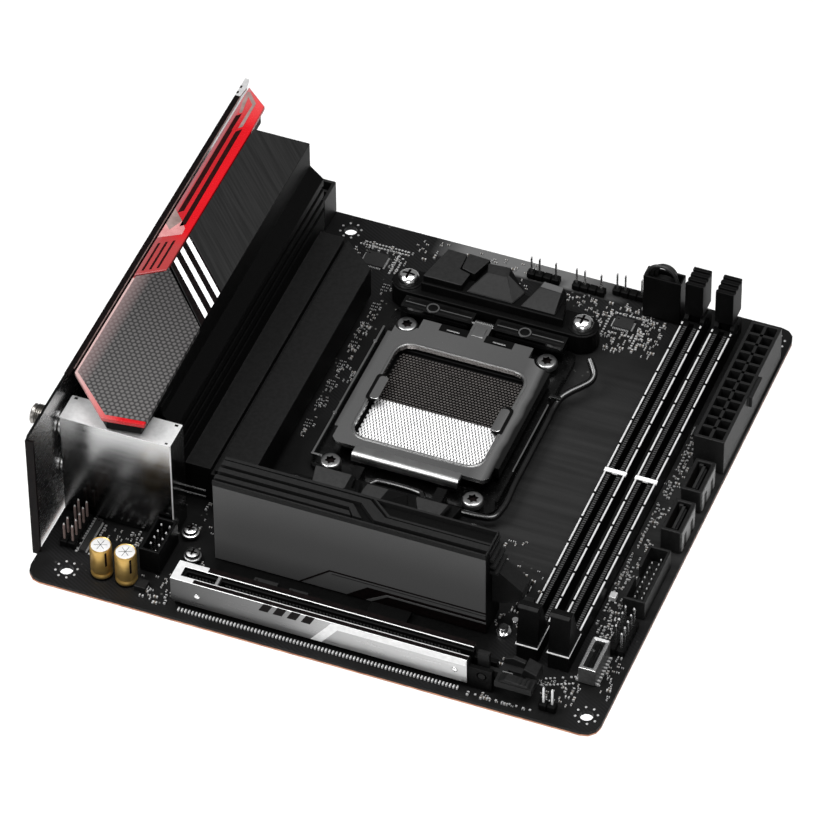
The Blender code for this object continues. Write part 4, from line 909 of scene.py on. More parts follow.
def coils():
    """Square power coils, a pale block and the bright post by the drive bay's end."""
    bm = bmesh.new()
    for x, y, side, height in ((135.2, 38.6, 4.2, 2.2), (132.2, 45.5, 3.6, 1.8), (32.6, 7.4, 3.4, 1.8)):
        half = side / 2
        brick(bm, (x - half, x + half), (y - half, y + half), (-0.02, height), 0)
        brick(bm, (x - half - 0.15, x + half + 0.15), (y - 1, y + 1), (-0.02, 0.5), 1)
    brick(bm, (155.8, 157.8), (49.2, 51.6), (-0.02, 1.6), 2)
    ease(bm, 0.18)
    keep(bm, "power_coils", ["satin", "solder", "pale_steel"])
    bm = bmesh.new()
    post = [(0, 2.6), (1.2, 2.6), (1.4, 2.4), (1.4, 1.0), (2.1, 0.9), (2.1, 0.2), (0, 0.2)]
    turned(bm, (133.0, 27.2), post)
    turned(bm, (134.8, 31.6), [(0, 1.8), (0.9, 1.8), (1.1, 1.6), (1.1, 0.1), (0, 0.1)])
    keep(bm, "bay_posts", ["bright"], smooth=True)


def underside_joints():
    """Solder points under the through-hole pins."""
    bm = bmesh.new()
    rows = (
        ((161.9, 167.7), 2, (109.0, 155.1), 12, 0.85),
        ((9.7, 23.9), 4, (162.9, 167.2), 2, 0.85),
        ((141.2, 144.3), 2, (28.0, 152.0), 100, 0.34),
        ((150.4, 153.5), 2, (28.0, 152.0), 100, 0.34),
        ((46.5, 128.0), 78, (5.5, 9.7), 2, 0.34),
        ((163.3, 165.8), 2, (46.6, 66.0), 10, 0.5),
        ((163.6, 166.14), 2, (31.1, 41.3), 5, 0.5),
        ((5.9, 8.44), 2, (15.1, 25.3), 5, 0.5),
        ((3.0, 14.0), 4, (43.0, 140.0), 30, 0.5),
        ((20.0, 27.5), 2, (7.2, 10.2), 2, 0.5),
    )
    for x_run, columns, y_run, lines, radius in rows:
        for column in range(columns):
            x = x_run[0] + (x_run[1] - x_run[0]) * column / (columns - 1)
            for line in range(lines):
                y = y_run[0] + (y_run[1] - y_run[0]) * line / (lines - 1)
                disc(bm, (x, y), radius * 0.35, (-2.5, -1.58), 0, 8, radius)
    keep(bm, "underside_solder", ["solder"])


def board():
    """The board and all that is soldered flat on it."""
    repaint("pcb", "board")
    hole_rings()
    small_parts()
    flat_chips()
    coils()
    underside_joints()
    soften("chipset", 0.2, ["anodised"])


# Rear edge


def rear_plate():
    """Black outside and bare steel inside, with dark folded edges and a bright end tab."""

    def side(_, normal):
        return 1 if normal.x > 0.5 else 0

    soften("rear_io_plate", 0.1, ["anodised", "inside"], pick=side, segments=1)
    x, y, z = span("rear_io_plate")
    top = (z[1] - 0.5, z[1] + 0.12)
    bm = bmesh.new()
    brick(bm, (x[0] - 0.1, x[1] + 0.7), (y[0] + 27, y[1] - 7), top, 0)
    brick(bm, (x[1] + 0.7, x[1] + 0.9), (y[0] + 30, y[1] - 7), (z[1] - 0.5, z[1] - 0.1), 2)
    brick(bm, (x[0] - 0.15, x[1] + 1.5), (y[0] - 0.2, y[0] + 0.5), (z[0] + 0.6, z[1] - 1.0), 0)
    tab = [(x[0] - 0.1, y[1] - 7), (x[1] + 0.7, y[1] - 7), (x[1] + 1.1, y[1] - 3)]
    tab += [(x[1] + 0.3, y[1] + 0.9), (x[0] - 0.1, y[1] + 0.9)]
    prism(bm, tab, top, 1)
    for at in (y[1] - 3, y[1] - 5.6):
        brick(bm, (x[0] - 0.12, x[0] + 0.5), (at - 0.5, at + 0.5), (z[1] - 0.5, z[1] + 0.15), 0)
    keep(bm, "rear_plate_edge", ["dark_line", "pin_bright", "taupe"])


def port_insides():
    """Tongues and contacts in the rear ports."""
    bm = bmesh.new()
    for stack in ("usb_stack_1", "usb_stack_2"):
        for z in (4.4, 12.2):
            usb_tongue(bm, middle_y(stack), z)
    middle = middle_y("lan_usb_stack")
    usb_tongue(bm, middle, 4.4)
    for step in range(8):
        at = middle - 3.57 + step * 1.02
        brick(bm, (1.5, 10.6), (at - 0.2, at + 0.2), (22.3, 22.6), 1)
    brick(bm, (9.6, 10.7), (middle - 5.6, middle + 5.6), (14.4, 22.7), 2)
    middle = middle_y("video_ports")
    for z, width in ((4.6, 11.0), (15.6, 11.4)):
        brick(bm, (0.4, 10.7), (middle - width / 2, middle + width / 2), (z - 0.5, z + 0.5), 2)
        for step in range(9):
            at = middle - 4.4 + step * 1.1
            brick(bm, (0.2, 9.0), (at - 0.2, at + 0.2), (z + 0.48, z + 0.58), 1)
    ease(bm, 0.06, 1)
    keep(bm, "rear_port_tongues", ["tongue", "gold", "plastic"])
    bm = bmesh.new()
    ring = [(2.1, -2.3), (2.9, -2.3), (2.9, 9.0), (2.1, 9.0), (2.1, -2.3)]
    for z in (5.4, 17.4):
        turned(bm, (0, middle_y("audio_jacks"), z), ring, 28, 0, "X")
    keep(bm, "audio_jack_sleeves", ["steel"], smooth=True)


def usb_tongue(bm, middle, z):
    """A tongue with five contacts on its lower face."""
    brick(bm, (0.6, 10.7), (middle - 5.4, middle + 5.4), (z + 0.2, z + 1.7), 0)
    for step in range(5):
        at = middle - 4 + step * 2
        brick(bm, (0.8, 10.0), (at - 0.45, at + 0.45), (z + 0.08, z + 0.22), 1)


def antenna_jacks():
    """Threaded sleeves with a hexagon nut, pin and insulator."""
    for number in (1, 2):
        node = f"antenna_jack_{number}"
        x, _, z = span(node)
        middle = (0, middle_y(node), sum(z) / 2)
        bm = bmesh.new()
        turned(bm, middle, [(0.0, x[1]), (4.1, x[1]), (4.1, x[1] - 0.6), (3.0, x[1] - 0.6)], 28, 2, "X")
        sleeve = [(3.0, x[1] - 0.6)]
        at = -4.2
        while at > x[0] + 0.9:
            sleeve += [(3.1, at), (2.8, at - 0.25), (2.8, at - 0.35)]
            at -= 0.6
        sleeve += [(3.0, x[0] + 0.3), (2.7, x[0]), (2.2, x[0]), (2.2, x[0] + 4.5), (0.0, x[0] + 4.5)]
        turned(bm, middle, sleeve, 28, 0, "X")
        core = [(0, x[0] + 4.6), (1.3, x[0] + 4.6), (1.3, x[0] + 1.2), (0, x[0] + 1.2)]
        turned(bm, middle, core, 16, 1, "X")
        bmesh.ops.create_cone(
            bm,
            cap_ends=True,
            segments=6,
            radius1=4.2,
            radius2=4.2,
            depth=2.0,
            matrix=Matrix.Translation((-2.9, middle[1], middle[2])) @ Matrix.Rotation(math.pi / 2, 4, "Y"),
        )
        looks = ["jack", "white", "inside"]
        keep(bm, node + "_threaded", looks, stands_for=(node,), smooth=True)


def wifi_can():
    """The shield can with its notches, a paler top and bright strips along its front edges, both painted
    light, and spring clips.
    """
    # The can's top takes paler steel than its sides: painted light.
    soften("wifi_shield", 0.3, ["can", "pale_steel"], pick=top_or_side)
    x, y, z = span("wifi_shield")
    bm = bmesh.new()
    for at in (x[0] + 1.6, x[1] - 1.6):
        brick(bm, (at - 0.5, at + 0.5), (y[1] - 1.4, y[1] - 0.6), (z[1] - 0.3, z[1] + 0.03))
    brick(bm, (x[1] - 1.9, x[1] - 1.1), (y[0] + 0.5, y[0] + 1.1), (z[1] - 0.3, z[1] + 0.03))
    brick(bm, (x[1] - 0.3, x[1] + 0.04), (y[0] + 0.4, y[0] + 1.0), (z[1] - 3.4, z[1] - 2.2))
    keep(bm, "can_notches", ["dark_line"])
    bm = bmesh.new()
    # Painted highlights: bright strips along the top front edge and the right front edge.
    brick(bm, x, (y[0] - 0.06, y[0] + 0.2), (z[1] - 0.3, z[1] + 0.03), 1)
    brick(bm, (x[1] - 0.3, x[1] + 0.05), (y[0] - 0.06, y[0] + 0.2), (z[0] + 4, z[1]), 1)
    for low in (11.6, 14.0):
        brick(bm, (x[1], x[1] + 6.4), (y[1] - 1.2, y[1] - 0.9), (low, low + 0.4))
    keep(bm, "can_clips_and_painted_highlights", ["steel", "pale_steel"])
    repaint("wifi_module", "chip")


# Power stage heatsink and its cover


def vrm():
    """The tall heatsink, brushed on its deck and satin on its foot, with three white bars."""
    deck, foot = 43, 18

    def by_level(middle, normal):
        if normal.z > 0.9 and middle.z > deck:
            return 1
        if normal.z > 0.9 and middle.z < foot:
            return 2
        return 0

    soften("vrm_heatsink", 0.4, ["anodised", "brushed", "satin"], pick=by_level)
    repaint("vrm_thermal_pad", "pad")
    z = (43.9, 44.1)
    fall = 18.4
    bm = bmesh.new()
    prism(bm, [(8.9, 102.0), (8.9, 88.6), (26.3, 68.8), (26.3, 102.0 - fall)], (43.9, 44.04), 1)
    for start in (100.2, 95.8, 91.2):
        ends = [(9.0, start + 1), (9.0, start - 1), (26.2, start - fall - 1), (26.2, start - fall + 1)]
        prism(bm, ends, z, 0)
    keep(bm, "white_bars", ["white", "dark_line"])


def nose():
    """Red-edged cover plate with the honeycomb panel let into it."""
    bm = bmesh.new()
    edge = [(0.5, 39.1), (14.7, 25.1), (26.9, 26.7), (26.0, 68.0), (8.3, 87.6), (8.3, 86.0), (0.5, 80.6)]
    prism(bm, edge, (42.5, 43.9))
    ease(bm, 0.25)
    keep(bm, "nose_edge", ["red"], stands_for=("nose_panel",))
    bm = bmesh.new()
    panel = [(1.2, 39.6), (15.1, 26.6), (27.0, 28.0), (26.3, 68.0), (8.4, 87.7), (8.4, 85.9), (1.2, 80.9)]
    prism(bm, panel, (42.5, 44.05))
    ease(bm, 0.15)
    keep(bm, "nose_honeycomb", ["honeycomb"])


def red_strip():
    """The clear red strip along the cover, with its inlays."""
    bm = bmesh.new()
    edge = [(0.5, 81.0), (8.4, 86.4), (8.4, 150.6), (8.0, 160.5), (0.5, 166.8)]
    prism(bm, edge, (42.5, 44.0))
    ease(bm, 0.3)
    keep(bm, "red_strip", ["red"], stands_for=("accent_strip",))
    bm = bmesh.new()
    z = (43.9, 44.05)
    prism(bm, [(1.7, 153.6), (2.0, 109.4), (3.4, 110.9), (3.1, 155.2)], z, 0)
    prism(bm, [(4.3, 147.2), (4.7, 104.2), (6.1, 105.6), (5.7, 149.0)], z, 0)
    prism(bm, [(0.7, 97.8), (6.7, 101.5), (6.6, 104.0), (4.6, 106.6), (0.7, 110.8)], z, 1)
    prism(bm, [(2.6, 102.0), (4.6, 106.6), (0.7, 110.8), (0.7, 104.0)], (44.0, 44.07), 2)
    for at in (1.8, 3.6, 5.4):
        low = 83.4 + (at - 1.8) * 0.7
        prism(bm, [(at, low), (at + 0.6, low + 0.4), (at + 0.6, low + 12.6), (at, low + 12.2)], z, 0)
    loop = [(0.9, 164.6), (1.8, 164.6), (5.2, 160.6), (5.4, 150.0), (4.4, 148.8), (4.4, 159.8), (2.0, 162.6)]
    prism(bm, loop + [(2.9, 155.6), (2.2, 155.0), (1.2, 160.0)], z, 2)
    prism(bm, [(2.2, 161.2), (3.9, 159.4), (3.9, 148.0), (3.0, 147.4), (3.1, 156.2)], (44.0, 44.07), 3)
    keep(bm, "red_strip_inlays", ["dark_red", "rose", "taupe", "red"])


# Card slot edge


M2_RIDGES = (
    ((47.4, 35.2), (128.6, 35.2), (128.6, 34.6), (47.4, 34.2)),
    (
        (47.4, 33.8),
        (91.2, 33.8),
        (97.4, 28.9),
        (128.4, 28.9),
        (128.4, 26.9),
        (94.8, 26.9),
        (89.2, 31.9),
        (47.4, 31.9),
    ),
    ((47.4, 30.8), (87.2, 30.8), (91.4, 26.4), (88.8, 26.4), (86.6, 29.2), (47.4, 29.2)),
    ((47.4, 27.9), (87.0, 27.9), (88.2, 26.4), (47.4, 26.4)),
    ((47.4, 25.5), (128.6, 25.5), (128.6, 25.0), (47.4, 25.0)),
    ((91.9, 34.4), (92.7, 34.4), (98.4, 30.0), (128.2, 30.0), (128.2, 29.3), (98.0, 29.3)),
)


def m2_bay():
    """The drive heatsink with its ridges, face lines, end ribs and tail, and two screws."""
    x, y, z = span("m2_heatsink")
    floor = z[1] - 1.6
    bm = bmesh.new()
    brick(bm, x, y, (z[0], floor))
    ease(bm, 0.3)
    for face in bm.faces:
        if face.normal.z > 0.9:
            face.material_index = 1
    for outline in M2_RIDGES:
        prism(bm, outline, (floor - 0.2, z[1]), 2)
    brick(bm, (x[1] - 0.4, x[1]), y, (floor - 0.2, z[1]), 2)
    looks = ["blasted", "anodised", "ridge"]
    keep(bm, "m2_heatsink_block", looks, stands_for=("m2_heatsink",))
    repaint("m2_riser", "board")
    bm = bmesh.new()
    face = (y[0] - 0.06, y[0] + 0.1)
    line = [(72.6, 0.5), (73.3, 0.5), (82.2, 7.8), (x[1], 7.8), (x[1], 8.3), (82.0, 8.3)]
    prism(bm, line, face, 0, "Y")
    prism(bm, [(87.0, 0.5), (x[1], 0.5), (x[1], 5.6), (93.4, 5.6)], face, 0, "Y")
    ledge = [(93.0, 0.6), (94.6, 0.6), (99.4, 4.0), (x[1], 4.0), (x[1], 4.6), (99.0, 4.6)]
    prism(bm, ledge, (y[0] - 0.16, y[0] + 0.1), 1, "Y")
    prism(bm, [(82.6, 6.9), (x[1], 6.9), (x[1], 7.1), (82.8, 7.1)], face, 2, "Y")
    keep(bm, "m2_face_lines", ["dark_line", "blasted", "ridge"])
    bm = bmesh.new()
    brick(bm, (x[1] - 0.1, x[1] + 0.06), y, (z[0], z[1] - 0.6), 1)
    for step in range(4):
        top = z[1] - 1.4 - step * 2.3
        brick(bm, (x[1] - 0.1, x[1] + 0.4 + step * 0.7), (y[0] + 2.4, y[1]), (top - 0.9, top), 0)
    tail = [(x[1], 21.5), (x[1] + 1.6, 21.2), (x[1] + 9.0, 15.4)]
    tail += [(x[1] + 9.0, 12.0), (x[1] + 3.0, 9.0), (x[1], 9.0)]
    prism(bm, tail, (y[0] + 4.6, y[1]), 0, "Y")
    keep(bm, "m2_end_ribs", ["ridge", "anodised"])
    head = [(0, 3.2), (1.3, 3.15), (1.9, 2.9), (2.1, 2.3), (2.1, 1.9), (2.5, 1.8), (2.5, 1.2)]
    head += [(1.75, 1.0), (1.75, 0.3), (0, 0.3)]
    for node, at, look in (
        ("m2_screw_1", (37.6, 30.8), "bright"),
        ("m2_screw_2", (41.7, 22.5), "screw"),
    ):
        screw(node, at, head, plus(at, 1.3, 0.28), (2.4, 4.0), look)


def card_slot():
    """The slot, its steel armour with inlays and rivets, its contacts, feet and latch."""
    soften("pcie_slot", 0.2, ["plastic"])
    soften("pcie_armour", 0.15, ["armour", "pale_steel"], pick=top_or_side)
    x, y, z = span("pcie_armour")
    key = 55.9
    bm = bmesh.new()
    face = (y[0] - 0.05, y[0] + 0.1)
    top = (z[1] - 0.05, z[1] + 0.06)
    brick(bm, (49.6, x[1]), (y[0] + 0.28, y[0] + 1.6), top)
    brick(bm, (52.0, x[1]), (y[1] - 1.7, y[1] + 0.04), top)
    for step in range(4):
        at = 69.4 + step * 4.2
        slash = [(at, 8.2), (at + 2.7, 8.2), (at + 4.3, 11.2), (at + 1.6, 11.2)]
        prism(bm, slash, face, 0, "Y")
    brick(bm, (x[0] + 0.6, x[1]), (y[1] - 0.1, y[1] + 0.05), (z[0], z[1] - 0.2))
    brick(bm, (key - 0.4, key + 0.4), (5.95, 9.25), (6.0, z[1] - 0.1), 1)
    keep(bm, "armour_inlays", ["dark_line", "side_plate"])
    bm = bmesh.new()
    prism(bm, [(84.8, z[0] + 0.2), (88.1, z[0] + 0.2), (92.9, 8.9), (89.6, 8.9)], face, 0, "Y")
    prism(bm, [(89.6, 8.9), (x[1] - 0.3, 8.9), (x[1] - 0.3, z[1] - 0.15), (91.0, z[1] - 0.15)], face, 0, "Y")
    keep(bm, "armour_stripe", ["pale_steel"])
    bm = bmesh.new()
    for at in (x[0] + 8.0, x[1] - 3.6):
        rivet(bm, at, y[0], 6.4)
    keep(bm, "armour_rivets", ["bright"], smooth=True)
    bm = bmesh.new()
    for step in range(82):
        at = 46.0 + step
        if abs(at - key) < 1.3:
            continue
        brick(bm, (at - 0.3, at + 0.3), (6.55, 6.78), (4.0, 9.2))
        brick(bm, (at - 0.3, at + 0.3), (8.42, 8.65), (4.0, 9.2))
    keep(bm, "card_contacts", ["comb"])
    bm = bmesh.new()
    for step in range(80):
        at = 45.6 + step * 1.05
        brick(bm, (at - 0.24, at + 0.24), (2.5, 3.6), (-0.02, 0.8))
        brick(bm, (at - 0.22, at + 0.22), (11.4, 12.4), (-0.02, 0.4))
    ease(bm, 0.1, 1)
    keep(bm, "card_slot_feet", ["pale_steel"])
    card_latch()


def card_latch():
    """The latch's own shape with a hooked rail, a raised end, a thumb pad and a painted highlight bar."""
    soften("pcie_latch", 0.35, ["satin"], "pcie_latch")
    x, y, _ = span("pcie_latch")
    bm = bmesh.new()
    rail = [(x[0] + 6.4, 6.6), (x[1] - 4.0, 6.6), (x[1] - 4.4, 8.8), (x[0] + 9.0, 9.6), (x[0] + 6.4, 8.6)]
    prism(bm, rail, (y[1] - 1.9, y[1] - 0.4), 0, "Y")
    end = [(x[1] - 4.6, 6.6), (x[1], 6.6), (x[1], 8.4), (x[1] - 3.8, 9.8)]
    prism(bm, end, (y[1] - 4.8, y[1]), 0, "Y")
    thumb = [(x[0] + 6.6, 6.6), (x[1] - 0.2, 6.6), (x[1] - 1.4, 7.6), (x[0] + 9.0, 8.2)]
    prism(bm, thumb, (y[0] + 0.2, y[0] + 3.2), 0, "Y")
    ease(bm, 0.25)
    for step in range(4):
        at = x[1] - 6.2 + step * 1.3
        brick(bm, (at - 0.2, at + 0.2), (y[0] + 0.4, y[0] + 3.0), (7.2, 8.0), 0)
    # A thin steel bar on the thumb pad's edge: a painted highlight.
    brick(bm, (x[0] + 7.4, x[0] + 10.4), (y[0] + 3.3, y[0] + 3.6), (7.4, 7.9), 1)
    keep(bm, "card_latch_grip_and_highlight", ["satin", "steel"], "pcie_latch")


def rivet(bm, x, y, z):
    """A low dome on a face that looks to the front."""
    made = bmesh.ops.create_uvsphere(bm, u_segments=16, v_segments=8, radius=0.9)
    bmesh.ops.scale(bm, vec=(1, 0.35, 1), verts=made["verts"])
    bmesh.ops.translate(bm, vec=(x, y, z), verts=made["verts"])


# Processor socket


def processor_socket():
    """The frame, contacts, load plate with its two screw notches, lever and screws."""
    soften("socket_frame", 0.2, ["black_nickel"])
    soften("socket_body", 0.15, ["plastic"])
    lid = soften("load_plate", 0.5, ["nickel"], "load_plate", segments=3)
    bm = bmesh.new()
    disc(bm, (65.6, 126.2), 3.5, (4.0, 9.0), 0, 32)
    disc(bm, (109.4, 126.5), 4.4, (4.0, 9.0), 0, 32)
    carve(lid, loose(bm, "screw_notches", ["nickel"]))
    soften("socket_backplate", 0.4, ["satin"])
    contact_field()
    hinge_rolls()
    plate_details()
    lever()
    torx_screws()
    # Thin bright strips on the frame's left, front and right rails are painted highlights; two small dots
    # sit on the left strip.
    bm = bmesh.new()
    brick(bm, (58.3, 58.85), (70.5, 126.0), (3.5, 3.8))
    for y in (87.5, 119.0):
        disc(bm, (58.55, y), 0.6, (3.6, 4.05), 0, 12)
    brick(bm, (58.2, 61.6), (70.0, 70.6), (3.5, 3.8))
    brick(bm, (114.2, 114.6), (83.6, 112.4), (3.5, 3.8))
    ease(bm, 0.05, 1)
    keep(bm, "frame_painted_highlights", ["screw"])


def hinge_rolls():
    """Rolled covers on the rear knuckles, each with a painted highlight line and an eyelet."""
    rolls = bmesh.new()
    lines = bmesh.new()
    for x in ((61.4, 83.2), (89.8, 111.6)):
        brick(rolls, (x[0] - 0.05, x[1] + 0.05), (131.7, 136.7), (4.2, 7.7))
        middle = sum(x) / 2 - 1.6
        for run in ((x[0] + 0.8, middle - 2.2), (middle + 2.2, x[1] - 0.6)):
            # Bright strips along the roll tops are painted highlights.
            brick(lines, run, (133.9, 134.2), (7.6, 7.76))
        ring = [(1.5, 7.6), (1.9, 7.6), (1.9, 7.8), (1.5, 7.8), (1.5, 7.6)]
        turned(lines, (middle, 134.0), ring, 20)
    ease(rolls, 1.5, 4)
    keep(rolls, "hinge_rolls", ["plastic"], smooth=True)
    keep(lines, "hinge_painted_highlights_and_eyelets", ["screw"])
    bm = bmesh.new()
    brick(bm, (113.9, 114.7), (113.4, 115.6), (1.8, 5.4))
    brick(bm, (113.9, 117.4), (113.9, 115.1), (4.85, 5.45))
    ease(bm, 0.2)
    keep(bm, "lever_hook", ["nickel"])


def plate_details():
    """Raised side pads in grooves filled black as painted shade, the bright front lip and the rear slots and
    tab.
    """
    bm = bmesh.new()
    # The black fill round each pad is painted shade in its groove.
    for side in (-1, 1):
        x = SOCKET_X + side * 19.2
        prism(bm, rounded((x - 1.7, x + 1.7), (92.7, 103.8), 1.3), (6.7, 7.28))
    for run in ((75.2, 83.9), (89.1, 97.8)):
        brick(bm, run, (126.6, 129.5), (6.9, 7.03))
    keep(bm, "plate_groove_shade_and_slots", ["plastic"], "load_plate")
    bm = bmesh.new()
    for side in (-1, 1):
        x = SOCKET_X + side * 18.6
        prism(bm, rounded((x - 1.4, x + 1.4), (93.4, 103.1), 1.1), (6.6, 7.36))
    ease(bm, 0.15, 2)
    keep(bm, "plate_pads", ["nickel"], "load_plate")
    bm = bmesh.new()
    brick(bm, (84.6, 88.2), (128.0, 132.4), (6.8, 7.1), 0)
    for run in ((77.4, 81.4), (91.6, 95.6)):
        brick(bm, run, (127.3, 127.9), (6.9, 7.15), 0)
    ease(bm, 0.25)
    keep(bm, "plate_tab", ["screw"], "load_plate")
    bm = bmesh.new()
    brick(bm, (70.3, 102.4), (70.5, 74.6), (4.6, 7.04))
    rolled = [edge for edge in bm.edges if all(v.co.y < 71 and v.co.z > 7 for v in edge.verts)]
    bmesh.ops.bevel(bm, geom=rolled, offset=2.0, segments=8, profile=0.5, affect="EDGES")
    keep(bm, "plate_lip", ["screw"], "load_plate", smooth=True)
    bm = bmesh.new()
    outer = rounded((66.0, 107.0), (77.35, 119.05), 5.2)
    inner = rounded((66.75, 106.25), (78.1, 118.3), 4.5)
    border(bm, outer, inner, (6.8, 7.25))
    ease(bm, 0.18)
    keep(bm, "plate_rim", ["screw"], "load_plate", smooth=True)


def contact_field():
    """Rows of sprung contacts, leaning one way in front and the other way behind; the front rows take a
    bright finish and the back rows a darker one, painted light and shade.
    """
    bm = bmesh.new()
    pitch = 1.0
    count = 38
    first = -(count - 1) / 2 * pitch
    for row in range(count):
        y = SOCKET_Y + first + row * pitch
        front = y < 97.6
        lean = Matrix.Rotation(math.radians(26 if front else -26), 3, "X").to_quaternion()
        for column in range(count):
            x = SOCKET_X + first + column * pitch + (0.5 * pitch if row % 2 else 0) - 0.25
            if abs(x - SOCKET_X) > 19.2:
                continue
            half = 0.34 if front else 0.28
            # Painted light and shade: front contacts get the bright finish, back contacts the dark one.
            brick(bm, (x - half, x + half), (y - 0.42, y + 0.42), (3.78, 3.9), 0 if front else 1, lean)
    keep(bm, "socket_contacts", ["pin_bright", "pin_painted_shade"])


LEVER_PATH = (
    (70.0, 63.7, 3.6),
    (77.2, 63.7, 3.6),
    (78.2, 64.1, 3.6),
    (79.6, 65.9, 3.6),
    (80.8, 66.3, 3.6),
    (92.2, 66.3, 3.6),
    (93.4, 65.9, 3.6),
    (94.8, 64.1, 3.6),
    (95.8, 63.7, 3.6),
    (113.2, 63.7, 3.6),
    (115.6, 64.6, 3.6),
    (116.6, 67.0, 3.6),
    (116.6, 80.0, 3.6),
    (116.5, 104.0, 3.6),
    (116.4, 113.4, 3.6),
    (116.9, 115.6, 4.1),
    (118.7, 118.4, 4.7),
    (121.5, 121.8, 5.1),
    (123.1, 124.2, 5.5),
    (123.2, 126.2, 6.1),
    (122.2, 127.9, 6.9),
    (120.6, 129.9, 7.8),
)


def tube(name, path, radius, look, body, stands_for):
    """A round wire along a smooth path, as a mesh."""
    curve = bpy.data.curves.new(name, "CURVE")
    curve.dimensions = "3D"
    curve.bevel_depth = radius * MM
    curve.bevel_resolution = 4
    curve.use_fill_caps = True
    curve.resolution_u = 6
    spline = curve.splines.new("BEZIER")
    spline.bezier_points.add(len(path) - 1)
    for point, place in zip(spline.bezier_points, path):
        point.co = world(place)
        point.handle_left_type = "AUTO"
        point.handle_right_type = "AUTO"
    holder = bpy.data.objects.new(name, curve)
    bpy.context.scene.collection.objects.link(holder)
    bpy.context.view_layer.update()
    mesh = bpy.data.meshes.new_from_object(holder.evaluated_get(bpy.context.evaluated_depsgraph_get()))
    bpy.data.objects.remove(holder, do_unlink=True)
    for face in mesh.polygons:
        face.use_smooth = True
    mesh.set_sharp_from_angle(angle=math.radians(45))
    mesh.materials.clear()
    mesh.materials.append(LOOKS[look])
    piece = bpy.data.objects.new(name, mesh)
    bpy.context.scene.collection.objects.link(piece)
    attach(piece, body)
    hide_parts(*stands_for)


def lever():
    """The load lever as one bent wire."""
    tube("lever_wire", LEVER_PATH, 1.05, "lever", "load_lever", ("load_lever",))


def torx_screws():
    """Flat round heads with a six-lobed recess."""
    spots = ((64.9, 68.4), (108.1, 68.4), (64.9, 128.0), (108.1, 128.0))
    profile = [(0, 5.0), (2.55, 5.0), (2.85, 4.85), (3.15, 4.3), (3.15, 3.2)]
    profile += [(1.3, 3.2), (1.3, -4.2), (0, -4.2)]
    for number, at in enumerate(spots, 1):
        screw(f"socket_screw_{number}", at, profile, star(at, 1.75, 1.15), (4.0, 6.0), "screw")


WING_LEFT = ((64.7, -2.0), (76.8, -2.0), (77.4, 3.6), (73.9, 4.5), (73.7, 11.0), (67.6, 11.3))
WING_SECOND = ((74.3, 4.4), (78.8, 3.2), (81.1, 10.6), (74.2, 11.0))
WING_MIDDLE = ((78.2, -2.0), (92.6, -2.0), (94.5, 3.6), (88.4, 9.7), (80.5, 9.2))
WING_MIDDLE_TOP = ((82.2, 5.2), (88.1, 5.4), (88.3, 6.3), (87.7, 9.6), (80.9, 9.1))
WING_RIGHT = ((95.0, -2.0), (105.7, -2.0), (105.9, 7.3), (98.5, 7.8))
WING_RIGHT_TOP = ((98.3, 4.8), (105.4, 4.4), (105.1, 7.2), (98.7, 7.7))
# A thin pale slab on the right wing's top: a painted highlight.
RIGHT_PAINTED_HIGHLIGHT = ((98.6, 5.1), (105.1, 4.7), (104.9, 7.0), (98.9, 7.4))


# Runs along the front bracket whose upward faces are painted lighter, as painted light.
PAINTED_LIGHT_RUNS = ((60.0, 75.6), (80.5, 86.7), (94.6, 104.6))


def cooler_bracket(end, line, side, nearer):
    """A round-ended bar with sculpted wings; its upward faces take lighter greys than its sides as painted
    light, and the front one shows pale blocks of painted light.
    """
    node = f"cooler_bracket_{end}"

    def plan(points):
        return [(x, line + nearer + side * out) for x, out in points]

    bm = bmesh.new()
    prism(bm, obround((59.5, line), (113.5, line), 4.95), (0.3, 7.1))
    prism(bm, plan(((64.4, -2.9), (108.4, -2.9), (107.0, 3.4), (65.4, 3.4))), (4.0, 10.2))
    prism(bm, plan(WING_LEFT), (5.0, 12.4))
    prism(bm, plan(WING_SECOND), (5.0, 13.0))
    prism(bm, plan(WING_MIDDLE), (5.0, 10.6))
    tapered(bm, plan(WING_MIDDLE), plan(WING_MIDDLE_TOP), (10.6, 13.0))
    prism(bm, plan(WING_RIGHT), (5.0, 10.6))
    tapered(bm, plan(WING_RIGHT), plan(WING_RIGHT_TOP), (10.6, 13.0))
    ease(bm, 0.3, 2)
    bmesh.ops.recalc_face_normals(bm, faces=bm.faces)
    if end == "bottom":
        for x in (x for run in PAINTED_LIGHT_RUNS for x in run):
            whole = bm.verts[:] + bm.edges[:] + bm.faces[:]
            bmesh.ops.bisect_plane(bm, geom=whole, plane_co=(x, 0, 0), plane_no=(1, 0, 0))
    # Painted light: upward faces high on the black moulding take lighter greys; on the top bracket the flat
    # tops are lighter than the slopes.
    for face in bm.faces:
        middle = face.calc_center_median()
        if face.normal.z < 0.3 or middle.z < 10.4:
            continue
        if end == "top":
            face.material_index = 2 if face.normal.z > 0.9 else 3
        elif any(low < middle.x < high for low, high in PAINTED_LIGHT_RUNS):
            face.material_index = 4
    if end == "top":
        # The pale slab on the right wing is a painted highlight.
        prism(bm, plan(RIGHT_PAINTED_HIGHLIGHT), (12.9, 13.04), 1)
    looks = ["plastic", "blasted", "wing", "anodised", "bracket"]
    keep(bm, node + "_moulded", looks, stands_for=(node,))


